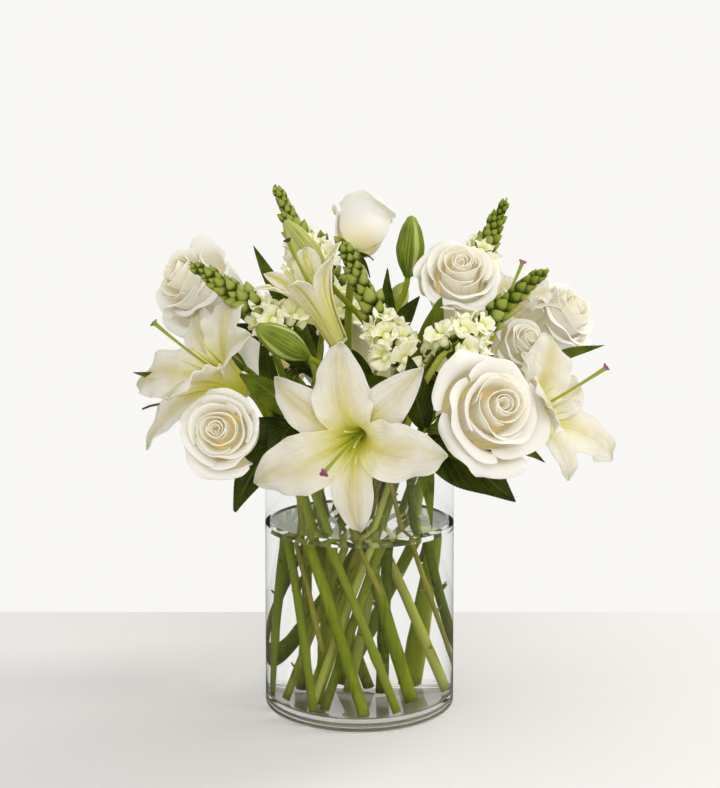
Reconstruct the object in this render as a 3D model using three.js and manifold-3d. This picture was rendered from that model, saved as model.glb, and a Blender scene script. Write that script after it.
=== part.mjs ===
// A bouquet of lilies, roses and snapdragons with their greens, standing in a glass cylinder vase of
// water. Millimetres, +Z up. The origin is the centre of the vase's foot, and the front faces -Y.

import * as THREE from 'three';
import { mergeVertices } from 'three/addons/utils/BufferGeometryUtils.js';
import Module from 'manifold-3d';

const wasm = await Module();
wasm.setup();

// ---------------------------------------------------------------- Driving dimensions

const VASE = { across: 150, tall: 200, wall: 4, foot: 10, rounding: 2, sides: 32 };
const WATER_LEVEL = 143.5;

// Room kept where one piece passes another, and the least shared volume that is cut away.
const GAP = 0.35;
const LEAST_OVERLAP = 0.002;

// Stems stand in three nested rings. A ring has its radius at the mouth and on the floor of the vase,
// and the angle it turns through between them, so that its stems lean round the axis and never meet.
const RINGS = {
  outer: { mouth: 52, foot: 64, lean: 75 },
  middle: { mouth: 37, foot: 49, lean: -85 },
  inner: { mouth: 22, foot: 33, lean: 100 },
};
const MOUTH_HEIGHT = 186;

// The slanting cut end of a stem stands this far above the vase's floor, at the middle of the cut.
const FOOT_CLEARANCE = 1.9;

const THICKNESS = { petal: 1.4, tepal: 1.5, leaf: 1.4 };

// Radius of each kind of stem, and of the stalk to a bloom or a bud, at its foot and at its end.
const STEM_RADII = { rose: [3.4, 2.8], lily: [4.4, 3.2], spike: [2.9, 2.3], greens: [2, 1.5] };
const STALK_RADII = { bloom: [2.8, 3.2], bud: [2.3, 2.3] };
const SPIKE_TIP_RADIUS = 1.1;

const COLOURS = {
  glass: 0xe9f0ef,
  water: 0xdfe9e4,
  rose: 0xfaf4e4,
  lily: 0xfbf8ec,
  pistil: 0xa9c94a,
  floret: 0xf1f3d6,
  spike: 0x7f9a3c,
  roseStem: 0x6f8f3a,
  lilyStem: 0x5f8a2e,
  greens: 0x3f6a24,
};

// Roses: centre of the head, the way it faces (turn from the front to the right, rise from level), its
// width, how far it has opened, and where its stem stands.
const ROSES = [
  { name: 'front_left', centre: [-95, -78, 226], turn: -12, rise: 14, across: 75, open: 0.9,
    ring: 'outer', at: -50 },
  { name: 'front_right', centre: [89, -85, 241], turn: 20, rise: 18, across: 90, open: 1.1,
    ring: 'outer', at: 48 },
  { name: 'top_right', centre: [76, -21, 329], turn: 0, rise: 40, across: 79, open: 0.9,
    ring: 'inner', at: 60 },
  { name: 'top', centre: [0, 40, 374], turn: 165, rise: 55, across: 69, open: 0.6,
    ring: 'inner', at: -150 },
  { name: 'right', centre: [158, 50, 296], turn: 60, rise: 35, across: 76, open: 1,
    ring: 'outer', at: 112 },
  { name: 'left', centre: [-124, 26, 324], turn: -50, rise: 30, across: 86, open: 1,
    ring: 'outer', at: -106 },
  { name: 'right_small', centre: [121, -17, 281], turn: 30, rise: 30, across: 54, open: 0.7,
    ring: 'middle', at: 56 },
  { name: 'back_left', centre: [-72, 102, 262], turn: -150, rise: 20, across: 80, open: 1,
    ring: 'outer', at: -148 },
  { name: 'back_right', centre: [76, 108, 258], turn: 150, rise: 18, across: 84, open: 1,
    ring: 'outer', at: 148 },
];

// Lily blooms: base of the bloom, the way it faces, its reach, and its tepals: the angle of each round
// the axis, whether it is one of the three broad inner ones, how far its tip is raised out of the
// flare, and its length beside the others. The style ends at `style`, in the bloom's own frame.
const LILIES = [
  {
    name: 'front', base: [3, -72, 226], turn: -16, rise: -5, reach: 74, depth: 46, style: [-6, -10, 78],
    tepals: [
      { at: 95, broad: true }, { at: 204, broad: true, length: 1.1 }, { at: 355, broad: true, length: 0.96 },
      { at: 46, length: 1.04 }, { at: 142 }, { at: 274, length: 0.92 },
    ],
  },
  {
    name: 'left', base: [-86, -36, 252], turn: -50, rise: 30, reach: 74, depth: 44, style: [-20, 12, 86],
    tepals: [
      { at: 90, broad: true, lift: 8 }, { at: 195, broad: true, length: 1.25, lift: 8 },
      { at: 302, broad: true, length: 0.8, lift: 40 }, { at: 140, length: 1.1, lift: 4 },
      { at: 245, length: 1.12, lift: 8 }, { at: 25, length: 0.9, lift: 22 },
    ],
  },
  {
    name: 'top', base: [-16, -38, 288], turn: -60, rise: 60, reach: 44, depth: 60, style: [-4, 4, 88],
    tepals: [
      { at: 20, broad: true, lift: 24 }, { at: 140, broad: true, lift: 24 },
      { at: 260, broad: true, lift: 24 },
      { at: 80, lift: 24 }, { at: 200, lift: 24 }, { at: 320, lift: 24 },
    ],
  },
  {
    name: 'right', base: [112, -28, 222], turn: 46, rise: 28, reach: 76, depth: 44, style: [30, 10, 86],
    tepals: [
      { at: 58, broad: true, lift: 16 }, { at: 190, broad: true, length: 0.75, lift: 42 },
      { at: 328, broad: true, length: 1.2 }, { at: 12, length: 0.9, lift: 8 },
      { at: 126, length: 0.75, lift: 32 }, { at: 268, length: 0.8, lift: 8 },
    ],
  },
  {
    name: 'right_upper', base: [98, 20, 282], turn: 62, rise: 58, reach: 50, depth: 44, style: [8, 8, 74],
    tepals: [
      { at: 95, broad: true, lift: 10 }, { at: 215, broad: true, lift: 30 },
      { at: 335, broad: true, lift: 28 },
      { at: 35, lift: 20 }, { at: 155, lift: 20 }, { at: 275, lift: 30 },
    ],
  },
  {
    name: 'back', base: [0, 62, 226], turn: 180, rise: 6, reach: 66, depth: 46, style: [6, -6, 78],
    tepals: [
      { at: 85, broad: true }, { at: 205, broad: true, length: 0.9, lift: 12 },
      { at: 325, broad: true, length: 0.9, lift: 12 }, { at: 25, length: 0.9, lift: 8 },
      { at: 145, length: 0.9, lift: 8 }, { at: 265, lift: 2 },
    ],
  },
];

// Lily stems: where each stands and ends, the blooms and buds that it carries (each with the point of
// the stem, from 0 at the foot to 1 at the end, where its stalk leaves), and its leaves.
const LILY_STEMS = [
  {
    name: 'front', ring: 'inner', at: -28, end: [-16, -34, 262], aim: [-0.3, -0.2, 0.9],
    blooms: [{ lily: 'front', from: 0.86 }, { lily: 'top', from: 0.96 }],
    buds: [{ base: [-37, -71, 280], tip: [-74, -90, 305], wide: 24, from: 0.93 }],
    leaves: [
      { from: 0.9, to: [24, -58, 262], wide: 20, arch: 6 },
      { from: 0.88, to: [-48, -66, 250], wide: 18, arch: 4 },
      { from: 0.78, to: [12, -60, 172], wide: 15, arch: 6 },
    ],
  },
  {
    name: 'left', ring: 'outer', at: -72, end: [-70, -30, 228], aim: [-0.6, -0.3, 0.7],
    blooms: [{ lily: 'left', from: 0.97 }],
    buds: [{ base: [-92, 22, 262], tip: [-128, 40, 280], wide: 19, from: 0.94 }],
    leaves: [
      { from: 0.95, to: [-76, -8, 296], wide: 18, arch: -4 },
      { from: 0.92, to: [-104, -4, 198], wide: 20, arch: 12 },
    ],
  },
  {
    name: 'right', ring: 'outer', at: 86, end: [78, 12, 234], aim: [0.6, 0, 0.8],
    blooms: [{ lily: 'right', from: 0.95 }, { lily: 'right_upper', from: 0.99 }],
    buds: [],
    leaves: [
      { from: 0.95, to: [146, 26, 236], wide: 20, arch: 8 },
      { from: 0.94, to: [124, -2, 204], wide: 19, arch: 10 },
      { from: 0.98, to: [112, 64, 256], wide: 18, arch: 6 },
    ],
  },
  {
    name: 'back', ring: 'inner', at: 124, end: [14, 2, 276], aim: [0, 0, 1],
    blooms: [{ lily: 'back', from: 0.86 }],
    buds: [
      { base: [38, 0, 336], tip: [41, 0, 386], wide: 24, from: 0.99 },
      { base: [-26, 2, 335], tip: [-58, -16, 382], wide: 23, from: 0.99 },
      { base: [26, 88, 302], tip: [40, 120, 328], wide: 21, from: 0.92 },
    ],
    leaves: [
      { from: 0.97, to: [22, -12, 345], wide: 15, arch: -4 },
      { from: 0.95, to: [48, 10, 322], wide: 17, arch: 4 },
      { from: 0.9, to: [-34, 44, 262], wide: 20, arch: 10 },
    ],
  },
];

// Snapdragons: the tip of the spike, the point where its green buds give way to open florets, and
// where the stem stands. `florets` is the number of open ones.
const SNAPDRAGONS = [
  { name: 'top_left', tip: [-68, 20, 411], neck: [-47, 22, 366], ring: 'middle', at: -100, florets: 5 },
  { name: 'left', tip: [-127, -48, 350], neck: [-74, -46, 312], ring: 'middle', at: -62, florets: 6 },
  { name: 'middle', tip: [-16, -30, 369], neck: [16, -36, 304], ring: 'middle', at: 12, florets: 7 },
  { name: 'top_right', tip: [121, 40, 401], neck: [101, 42, 358], ring: 'inner', at: 90, florets: 4 },
  { name: 'right', tip: [142, -44, 345], neck: [90, -52, 303], ring: 'middle', at: 44, florets: 7 },
  { name: 'back', tip: [-34, 112, 374], neck: [-22, 94, 322], ring: 'middle', at: -168, florets: 6 },
];

// Leafy greens: where each stem stands and ends, how much of its length in the vase is cut off, and
// the tip, width and arch of each leaf.
const GREENS = [
  {
    name: 'front_left', ring: 'outer', at: -24, cut: 0.5, end: [-50, -52, 234], aim: [-0.5, -0.4, 0.75],
    leaves: [
      { from: 0.96, to: [-93, -66, 165], wide: 46, arch: 14 },
      { from: 0.94, to: [-64, -78, 186], wide: 24, arch: 14 },
      { from: 0.99, to: [-88, -72, 268], wide: 20, arch: 6 },
      { from: 0.98, to: [-46, -62, 266], wide: 18, arch: -4 },
    ],
  },
  {
    name: 'front_right', ring: 'outer', at: 26, end: [50, -56, 226], aim: [0.4, -0.3, 0.8],
    leaves: [
      { from: 0.93, to: [116, -66, 172], wide: 46, arch: 5 },
      { from: 0.99, to: [142, -40, 197], wide: 20, arch: 12 },
      { from: 0.94, to: [53, -84, 156], wide: 13, arch: 14 },
      { from: 0.99, to: [36, -70, 282], wide: 22, arch: -2 },
    ],
  },
  {
    name: 'centre', ring: 'middle', at: 28, cut: 0.35, end: [44, -34, 272], aim: [0.2, -0.1, 1],
    leaves: [
      { from: 0.99, to: [61, -58, 324], wide: 17, arch: 4 },
      { from: 0.97, to: [26, -66, 240], wide: 20, arch: 4 },
    ],
  },
  {
    name: 'left', ring: 'outer', at: -90, cut: 0.25, end: [-108, 4, 232], aim: [-0.8, -0.2, 0.4],
    leaves: [
      { from: 0.98, to: [-163, -54, 240], wide: 18, arch: 6 },
      { from: 0.97, to: [-176, -20, 264], wide: 14, arch: 6 },
      { from: 0.94, to: [-148, 24, 226], wide: 24, arch: 8 },
      { from: 0.88, to: [-112, 44, 200], wide: 24, arch: 10 },
      { from: 0.97, to: [-124, -24, 216], wide: 20, arch: 8 },
    ],
  },
  {
    name: 'right', ring: 'outer', at: 98, cut: 0.55, end: [128, 26, 246], aim: [0.8, 0, 0.5],
    leaves: [
      { from: 0.99, to: [192, -10, 284], wide: 14, arch: 8 },
      { from: 0.98, to: [152, -14, 284], wide: 17, arch: 2 },
      { from: 0.95, to: [176, 34, 232], wide: 26, arch: 10 },
      { from: 0.9, to: [132, 56, 206], wide: 26, arch: 10 },
      { from: 0.86, to: [108, 6, 186], wide: 22, arch: 14 },
    ],
  },
  {
    name: 'back_left', ring: 'outer', at: -172, end: [-36, 68, 258], aim: [-0.3, 0.5, 0.8],
    leaves: [
      { from: 0.99, to: [-58, 96, 312], wide: 24, arch: 4 },
      { from: 0.95, to: [-104, 56, 296], wide: 22, arch: 8 },
      { from: 0.88, to: [-88, 100, 196], wide: 30, arch: 14 },
      { from: 0.84, to: [-40, 110, 178], wide: 26, arch: 14 },
      { from: 0.97, to: [-84, 2, 362], wide: 19, arch: 2 },
    ],
  },
  {
    name: 'back_right', ring: 'outer', at: 172, cut: 0.4, end: [34, 72, 262], aim: [0.3, 0.5, 0.8],
    leaves: [
      { from: 0.99, to: [2, 116, 318], wide: 24, arch: 4 },
      { from: 0.95, to: [104, 66, 312], wide: 20, arch: 8 },
      { from: 0.9, to: [112, 74, 192], wide: 26, arch: 12 },
      { from: 0.84, to: [34, 114, 176], wide: 26, arch: 14 },
    ],
  },
];

// ---------------------------------------------------------------- Vectors and curves

const vec = (xyz) => new THREE.Vector3(...xyz);
const radians = THREE.MathUtils.degToRad;
const clamp = THREE.MathUtils.clamp;
const smoothstep = THREE.MathUtils.smoothstep;

// Seeded draw, the same on every run.
function draws(seed) {
  let state = seed;
  return () => {
    state = (state * 1664525 + 1013904223) % 4294967296;
    return state / 4294967296;
  };
}

// The way a flower faces: turn 0 is the front, 90 the right; rise lifts it from level.
function facing(turn, rise) {
  const a = radians(turn);
  const e = radians(rise);
  return new THREE.Vector3(Math.sin(a) * Math.cos(e), -Math.cos(a) * Math.cos(e), Math.sin(e));
}

// Carries what is drawn round local +Z to `base`, with local +Y as near upright as it goes.
function frameAt(base, axis) {
  const z = axis.clone().normalize();
  const up = new THREE.Vector3(0, Math.abs(z.z) > 0.98 ? 1 : 0, Math.abs(z.z) > 0.98 ? 0 : 1);
  const x = new THREE.Vector3().crossVectors(up, z).normalize();
  const y = new THREE.Vector3().crossVectors(z, x);
  return new THREE.Matrix4().makeBasis(x, y, z).setPosition(base);
}

// A point round +Z, by its angle from +X.
function roundZ(radius, angle, height) {
  const a = radians(angle);
  return new THREE.Vector3(radius * Math.cos(a), radius * Math.sin(a), height);
}

// A point of the vase's rings: angle from the front to the right.
function polar(radius, turn, height) {
  const a = radians(turn);
  return new THREE.Vector3(radius * Math.sin(a), -radius * Math.cos(a), height);
}

// A curve that leaves `from` along one way and reaches `to` along another.
function sweep(from, leaving, to, arriving) {
  const pull = from.distanceTo(to) * 0.38;
  const second = from.clone().addScaledVector(leaving, pull);
  const third = to.clone().addScaledVector(arriving, -pull);
  return new THREE.CubicBezierCurve3(from, second, third, to);
}

// The route of a stem: straight from the vase's floor to its mouth, then in a curve to its end.
function stemRoute({ ring, at, cut = 0 }, end, aim, steps = 4) {
  const { mouth, foot, lean } = RINGS[ring];
  const rim = polar(mouth, at, MOUTH_HEIGHT);
  const start = polar(foot, at + lean, VASE.foot + FOOT_CLEARANCE).lerp(rim, cut);
  const upward = rim.clone().sub(start).normalize();
  return [start, ...sweep(rim, upward, end, aim.clone().normalize()).getPoints(steps)];
}

// The radius at each point of a route that tapers from its foot to its end.
function tapered(route, [foot, end], grow) {
  return route.map((_, i) => foot + ((end - foot) * i) / (route.length - 1) + grow);
}

// The point and the way of a route at a share of its length.
function along(route, share) {
  const lengths = route.slice(1).map((p, i) => p.distanceTo(route[i]));
  let rest = share * lengths.reduce((a, b) => a + b, 0);
  let i = 0;
  while (i < lengths.length - 1 && rest > lengths[i]) {
    rest -= lengths[i];
    i += 1;
  }
  const way = route[i + 1].clone().sub(route[i]).normalize();
  return { point: route[i].clone().addScaledVector(way, rest), way };
}

// ---------------------------------------------------------------- Closed solids

// A solid from points and triangles. Points that fall together become one, and the triangles that
// this flattens to a line are left out.
function solid(points, triangles) {
  const geometry = new THREE.BufferGeometry().setFromPoints(points);
  geometry.setIndex(triangles.flat());
  return solidOf(geometry);
}

function solidOf(geometry) {
  geometry.deleteAttribute('normal');
  geometry.deleteAttribute('uv');
  const merged = mergeVertices(geometry, 1e-3);
  const index = merged.index.array;
  const kept = [];
  for (let i = 0; i < index.length; i += 3) {
    const [a, b, c] = [index[i], index[i + 1], index[i + 2]];
    if (a !== b && b !== c && c !== a) kept.push(a, b, c);
  }
  const mesh = new wasm.Mesh({
    numProp: 3,
    vertProperties: new Float32Array(merged.attributes.position.array),
    triVerts: new Uint32Array(kept),
  });
  return new wasm.Manifold(mesh);
}

// A body turned round +Z from a profile of [radius, height] that starts and ends on the axis.
function turned(profile, sides) {
  const outline = profile.map(([radius, height]) => new THREE.Vector2(radius, height));
  const geometry = new THREE.LatheGeometry(outline, sides);
  geometry.rotateX(Math.PI / 2);
  return solidOf(geometry);
}

// A round rod along points, with a radius for each, closed at both ends.
function rod(route, radii, sides) {
  const points = [];
  const triangles = [];
  let side = new THREE.Vector3(1, 0, 0);
  for (let j = 0; j < route.length; j += 1) {
    const way = route[Math.min(j + 1, route.length - 1)].clone().sub(route[Math.max(j - 1, 0)]).normalize();
    side = side.addScaledVector(way, -side.dot(way)).normalize();
    const across = new THREE.Vector3().crossVectors(way, side);
    for (let i = 0; i < sides; i += 1) {
      const a = (2 * Math.PI * i) / sides;
      const p = route[j].clone();
      p.addScaledVector(side, radii[j] * Math.cos(a)).addScaledVector(across, radii[j] * Math.sin(a));
      points.push(p);
    }
  }
  for (let j = 0; j + 1 < route.length; j += 1) {
    for (let i = 0; i < sides; i += 1) {
      const [a, b] = [j * sides + i, j * sides + ((i + 1) % sides)];
      triangles.push([a, b, b + sides], [a, b + sides, a + sides]);
    }
  }
  const last = (route.length - 1) * sides;
  for (let i = 1; i + 1 < sides; i += 1) {
    triangles.push([0, i + 1, i], [last, last + i, last + i + 1]);
  }
  return solid(points, triangles);
}

// A thin blade over surface(s, t), with s from -1 to 1 across it and t from 0 at its root to 1 at its
// tip. Its root is gathered to one edge of full thickness, and it thins to its sides and its tip. Both
// faces are split alike.
function blade(surface, { across, lengthwise, thick }) {
  const step = 1e-3;
  const points = [];
  const upper = [];
  const lower = [];
  for (let j = 0; j <= lengthwise; j += 1) {
    upper.push([]);
    lower.push([]);
    for (let i = 0; i <= across; i += 1) {
      const [s, t] = [j === 0 ? 0 : (2 * i) / across - 1, j / lengthwise];
      const p = surface(s, t);
      upper[j].push(points.length);
      if (j > 0 && (i === 0 || i === across || j === lengthwise)) {
        lower[j].push(points.length);
        points.push(p);
      } else {
        const ds = surface(s + step, t).sub(surface(s - step, t));
        const dt = surface(s, t + step).sub(surface(s, Math.max(t - step, 0)));
        const normal = ds.cross(dt).normalize().multiplyScalar(thick / 2);
        lower[j].push(points.length + 1);
        points.push(p.clone().add(normal), p.clone().sub(normal));
      }
    }
  }
  const triangles = [];
  for (let j = 0; j < lengthwise; j += 1) {
    for (let i = 0; i < across; i += 1) {
      const rising = (i + 0.5 - across / 2) * (j + 0.5 - lengthwise / 2) >= 0;
      for (const [face, flip] of [[upper, false], [lower, true]]) {
        const [a, b, c, d] = [face[j][i], face[j][i + 1], face[j + 1][i + 1], face[j + 1][i]];
        const pair = rising ? [[a, b, c], [a, c, d]] : [[a, b, d], [b, c, d]];
        triangles.push(...pair.map((tri) => (flip ? tri.reverse() : tri)));
      }
    }
  }
  triangles.push([upper[0][0], upper[1][0], lower[0][0]]);
  triangles.push([lower[0][across], upper[1][across], upper[0][across]]);
  return solid(points, triangles);
}

const join = (solids) => wasm.Manifold.union(solids);
const moved = (body, matrix) => body.transform(matrix.elements);

// The largest body of a solid, without loose scraps.
function largest(body) {
  const bodies = body.decompose();
  return bodies.reduce((best, next) => (next.volume() > best.volume() ? next : best), bodies[0]);
}

// ---------------------------------------------------------------- Vase and water

function vaseBody() {
  const { across, tall, wall, foot, rounding, sides } = VASE;
  const outer = across / 2;
  const inner = outer - wall;
  const lip = wall / 4;
  return turned([
    [0, 0], [outer - rounding, 0], [outer, rounding], [outer, tall - lip], [outer - lip, tall],
    [inner + lip, tall], [inner, tall - lip], [inner, foot + rounding], [inner - rounding, foot], [0, foot],
  ], sides);
}

function waterBody() {
  const { across, wall, foot, rounding, sides } = VASE;
  const radius = across / 2 - wall - GAP;
  const floor = foot + GAP;
  return turned([
    [0, floor], [radius - rounding, floor], [radius, floor + rounding],
    [radius, WATER_LEVEL], [0, WATER_LEVEL],
  ], sides);
}

// ---------------------------------------------------------------- Rose

const ROSE_PETALS = 8;
const GOLDEN_ANGLE = 137.508;

// The head is taller than half its width, and stands this far behind its centre. The calyx is the
// green cup under it.
const ROSE_TALL = 0.82;
const ROSE_SEAT = 0.36;
const CALYX = { tall: 8, radius: 5.6 };

// One petal of a rose. layer runs from 0 at the heart to 1 at the outside: inner petals stand upright
// and close in, outer ones leave lower, stand wider apart, and turn their rims out.
function rosePetal(half, tall, open, layer, at) {
  const belly = half * (0.36 + 0.46 * layer);
  const rim = half * (0.2 + (0.46 + 0.32 * open) * layer ** 1.3);
  const root = tall * (0.22 - 0.18 * layer);
  const height = tall * (1 - 0.26 * open * layer ** 2.2);
  const span = radians(72 - 12 * layer);
  return (s, t) => {
    const v = t * (1 - 0.22 * Math.abs(s) ** 2.2);
    const u = 1 - v;
    const radius = 0.05 * half * u ** 3 + 3.4 * belly * u * u * v + 3.1 * belly * u * v * v + rim * v ** 3;
    const z = root * (u ** 3 + 2.7 * u * u * v) + 3 * u * v * v * 0.6 * height + v ** 3 * height;
    const a = at + s * span * (0.5 + 0.5 * Math.sin((Math.PI / 2) * clamp(t / 0.6, 0, 1)));
    const r = radius + 0.08 * half * layer * Math.abs(s) ** 3 * t * t;
    return new THREE.Vector3(r * Math.cos(a), r * Math.sin(a), z);
  };
}

function roseHead({ across, open }, grow) {
  const half = across / 2;
  const tall = ROSE_TALL * across;
  const heart = turned([
    [0, 0], [5, 0], [0.3 * half + grow, 0.24 * tall], [0.27 * half + grow, 0.6 * tall],
    [0, 0.92 * tall + grow],
  ], 6);
  const petals = [];
  for (let k = 0; k < ROSE_PETALS; k += 1) {
    const layer = k / (ROSE_PETALS - 1);
    const at = radians(GOLDEN_ANGLE * k);
    const shape = { across: 3, lengthwise: 2, thick: THICKNESS.petal + 2 * grow };
    petals.push(blade(rosePetal(half, tall, open, layer, at), shape));
  }
  return join([heart, ...petals]);
}

function roseBase({ centre, turn, rise, across }) {
  return vec(centre).addScaledVector(facing(turn, rise), -ROSE_SEAT * across);
}

function roseStem(rose, grow) {
  const axis = facing(rose.turn, rose.rise);
  const end = roseBase(rose).addScaledVector(axis, -0.75 * CALYX.tall);
  const route = stemRoute(rose, end, axis, 3);
  const wide = CALYX.radius + grow;
  const cup = turned([[0, -CALYX.tall - grow], [wide, -0.4 * CALYX.tall], [wide, -GAP], [0, -GAP]], 5);
  const calyx = moved(cup, frameAt(roseBase(rose), axis));
  return join([rod(route, tapered(route, STEM_RADII.rose, grow), 5), calyx]);
}

// ---------------------------------------------------------------- Lily

// The radius of the tube at the base of a bloom, the disc that it is seated on, and the room between
// the disc and the end of the stalk.
const TUBE_RADIUS = 5;
const BLOOM_SEAT = { radius: 8, thick: 1.8 };
const STALK_CLEARANCE = 0.8;

// How far out from the broad tepals the narrow ones stand, and the half width of each kind beside the
// bloom's reach.
const OUTER_SHIFT = 2.6;
const TEPAL_WIDTH = { broad: 0.29, narrow: 0.21 };

// The pistil: its base, its style and the knob at the tip, and the threads that stand round it.
const PISTIL = { base: 3.1, baseTall: 2.5, style: 1.1, knob: 2.4, threads: 6, thread: 0.8, spread: 12 };

// One tepal: it leaves the base as part of a narrow tube, opens in a trumpet and turns back at its tip.
// Its section follows the tube at first, and turns its edges back where it flares.
function lilyTepal({ reach, depth }, { at, broad = false, lift = 0, length = 1 }) {
  const end = reach * length * (1 - 0.006 * lift);
  const shift = broad ? 0 : OUTER_SHIFT;
  const rib = new THREE.CubicBezierCurve(
    new THREE.Vector2(TUBE_RADIUS + shift, 0),
    new THREE.Vector2(8 + shift, 0.9 * depth - shift),
    new THREE.Vector2(0.5 * end, 1.15 * depth + 0.4 * lift - shift),
    new THREE.Vector2(end, 0.78 * depth + lift - shift),
  );
  const halfWidth = reach * (broad ? TEPAL_WIDTH.broad : TEPAL_WIDTH.narrow);
  const a = radians(at);
  const outward = new THREE.Vector3(Math.cos(a), Math.sin(a), 0);
  const sideways = new THREE.Vector3(-Math.sin(a), Math.cos(a), 0);
  return (s, t) => {
    const m = rib.getPoint(clamp(t, 0, 1));
    const way = rib.getTangent(clamp(t, 0.001, 1));
    const wide = 3 * (1 - t) ** 2 + halfWidth * Math.sin(Math.PI * clamp(t, 0, 1) ** 1.35) ** 0.9;
    const bend = (1 - smoothstep(t, 0.2, 0.7)) / (m.x + 1) - 0.014 * smoothstep(t, 0.5, 0.9) + 1e-6;
    const x = (Math.sin(bend * s * wide)) / bend;
    const fold = 1.2 * (Math.abs(s) - 0.5) * smoothstep(t, 0.3, 0.6);
    const inward = (1 - Math.cos(bend * s * wide)) / bend + fold;
    const p = new THREE.Vector3(0, 0, m.y + way.x * inward);
    return p.addScaledVector(outward, m.x - way.y * inward).addScaledVector(sideways, x);
  };
}

function lilyBloom(lily, grow) {
  const shape = { across: 2, lengthwise: 5, thick: THICKNESS.tepal + 2 * grow };
  const radius = BLOOM_SEAT.radius + grow;
  const seat = turned([[0, 0], [radius, 0], [radius, BLOOM_SEAT.thick], [0, BLOOM_SEAT.thick]], 6);
  return join([seat, ...lily.tepals.map((tepal) => blade(lilyTepal(lily, tepal), shape))]);
}

// The style with its knob and the six threads round it, on the bottom of the throat.
function lilyPistil({ style, depth }, grow) {
  const foot = BLOOM_SEAT.thick + GAP;
  const tip = vec(style);
  const curve = new THREE.CubicBezierCurve3(
    new THREE.Vector3(0, 0, foot + 1),
    new THREE.Vector3(0, 0, tip.z * 0.45),
    new THREE.Vector3(tip.x * 0.4, tip.y * 0.4, tip.z * 0.75),
    tip,
  );
  const stalk = rod(curve.getPoints(3), Array(4).fill(PISTIL.style + grow), 4);
  const knob = turned([[0, -2 - grow], [PISTIL.knob + grow, 0.2], [0, 1.6 + grow]], 5);
  const [wide, top] = [PISTIL.base + grow, foot + PISTIL.baseTall];
  const base = turned([[0, foot], [wide, foot], [wide, top], [0, top]], 6);
  const threads = [];
  for (let k = 0; k < PISTIL.threads; k += 1) {
    const around = (360 / PISTIL.threads) * k + 20;
    const root = roundZ(0.7 * PISTIL.base, around, foot + 1);
    const end = roundZ(PISTIL.spread, around, 1.22 * depth);
    threads.push(rod([root, end], Array(2).fill(PISTIL.thread + grow), 3));
  }
  return join([base, stalk, moved(knob, frameAt(tip, new THREE.Vector3(0, 0, 1))), ...threads]);
}

function lilyBud({ base, tip, wide }, grow) {
  const axis = vec(tip).sub(vec(base));
  const long = axis.length();
  const half = wide / 2 + grow;
  const shape = turned([
    [0, 0], [2.2 + grow, 0], [0.72 * half, 0.2 * long], [half, 0.46 * long],
    [0.74 * half, 0.76 * long], [0, long],
  ], 6);
  return moved(shape, frameAt(vec(base), axis));
}

const lilyNamed = (name) => LILIES.find((lily) => lily.name === name);

function lilyStemRoute(stem) {
  return stemRoute(stem, vec(stem.end), vec(stem.aim));
}

// The main stem with a stalk to each of its blooms and buds.
function lilyStem(stem, grow) {
  const route = lilyStemRoute(stem);
  const rods = [rod(route, tapered(route, STEM_RADII.lily, grow), 6)];
  for (const { lily, from } of stem.blooms) {
    const { base, turn, rise } = lilyNamed(lily);
    const axis = facing(turn, rise);
    const start = along(route, from);
    const end = vec(base).addScaledVector(axis, -STALK_CLEARANCE);
    const stalk = sweep(start.point, start.way, end, axis).getPoints(3);
    rods.push(rod(stalk, tapered(stalk, STALK_RADII.bloom, grow), 5));
  }
  for (const { base, tip, from } of stem.buds) {
    const start = along(route, from);
    const axis = vec(tip).sub(vec(base)).normalize();
    const end = vec(base).addScaledVector(axis, 2);
    const stalk = sweep(start.point, start.way, end, axis).getPoints(2);
    rods.push(rod(stalk, tapered(stalk, STALK_RADII.bud, grow), 5));
  }
  return join(rods);
}

// ---------------------------------------------------------------- Leaf

// How much a leaf's edges rise from its rib, beside its half width.
const EDGE_RISE = 0.28;

// A leaf turns its upper side out of the bouquet: to the front where its tip is in the front part, to
// the back elsewhere, the more to the side the further out its tip is, and a little upwards.
const FRONT_PART = 22;
const BOUQUET_RADIUS = 160;
const UPWARDS = 0.35;
const outwards = (tip) => new THREE.Vector3(tip.x / BOUQUET_RADIUS, tip.y < FRONT_PART ? -1 : 1, UPWARDS);

// A pointed leaf from a point to a tip: its rib arches up between them.
function leafSurface(from, to, wide, arch) {
  const middle = from.clone().lerp(to, 0.5);
  middle.z += 2 * arch;
  const rib = new THREE.QuadraticBezierCurve3(from, middle, to);
  const whole = to.clone().sub(from);
  const side = new THREE.Vector3().crossVectors(whole, outwards(to)).normalize();
  const up = new THREE.Vector3().crossVectors(side, whole).normalize();
  return (s, t) => {
    const half = 1.6 * (1 - t) ** 3 + (wide / 2) * Math.sin(Math.PI * clamp(t, 0, 1) ** 0.9) ** 0.95;
    const p = rib.getPoint(clamp(t, 0, 1));
    return p.addScaledVector(side, s * half).addScaledVector(up, EDGE_RISE * Math.abs(s) * half);
  };
}

function leaf(route, { from, to, wide, arch }, grow) {
  const root = along(route, from).point;
  const surface = leafSurface(root, vec(to), wide, arch);
  return blade(surface, { across: 2, lengthwise: 3, thick: THICKNESS.leaf + 2 * grow });
}

// ---------------------------------------------------------------- Snapdragon

const SPIKE_BUDS = 11;
const BUD_LENGTHS = [16.5, 9];
const FLORET_PITCH = 4.8;
const FLORET_RIM = 6;
const SLEEVE_RADIUS = 4.4;

function spikeRoute({ tip, neck, ring, at, florets }) {
  const way = vec(tip).sub(vec(neck)).normalize();
  const lower = vec(neck).addScaledVector(way, -FLORET_PITCH * (florets + 1));
  const arriving = way.clone().add(new THREE.Vector3(0, 0, 0.5)).normalize();
  return [...stemRoute({ ring, at }, lower, arriving, 3), vec(neck), vec(tip)];
}

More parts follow.
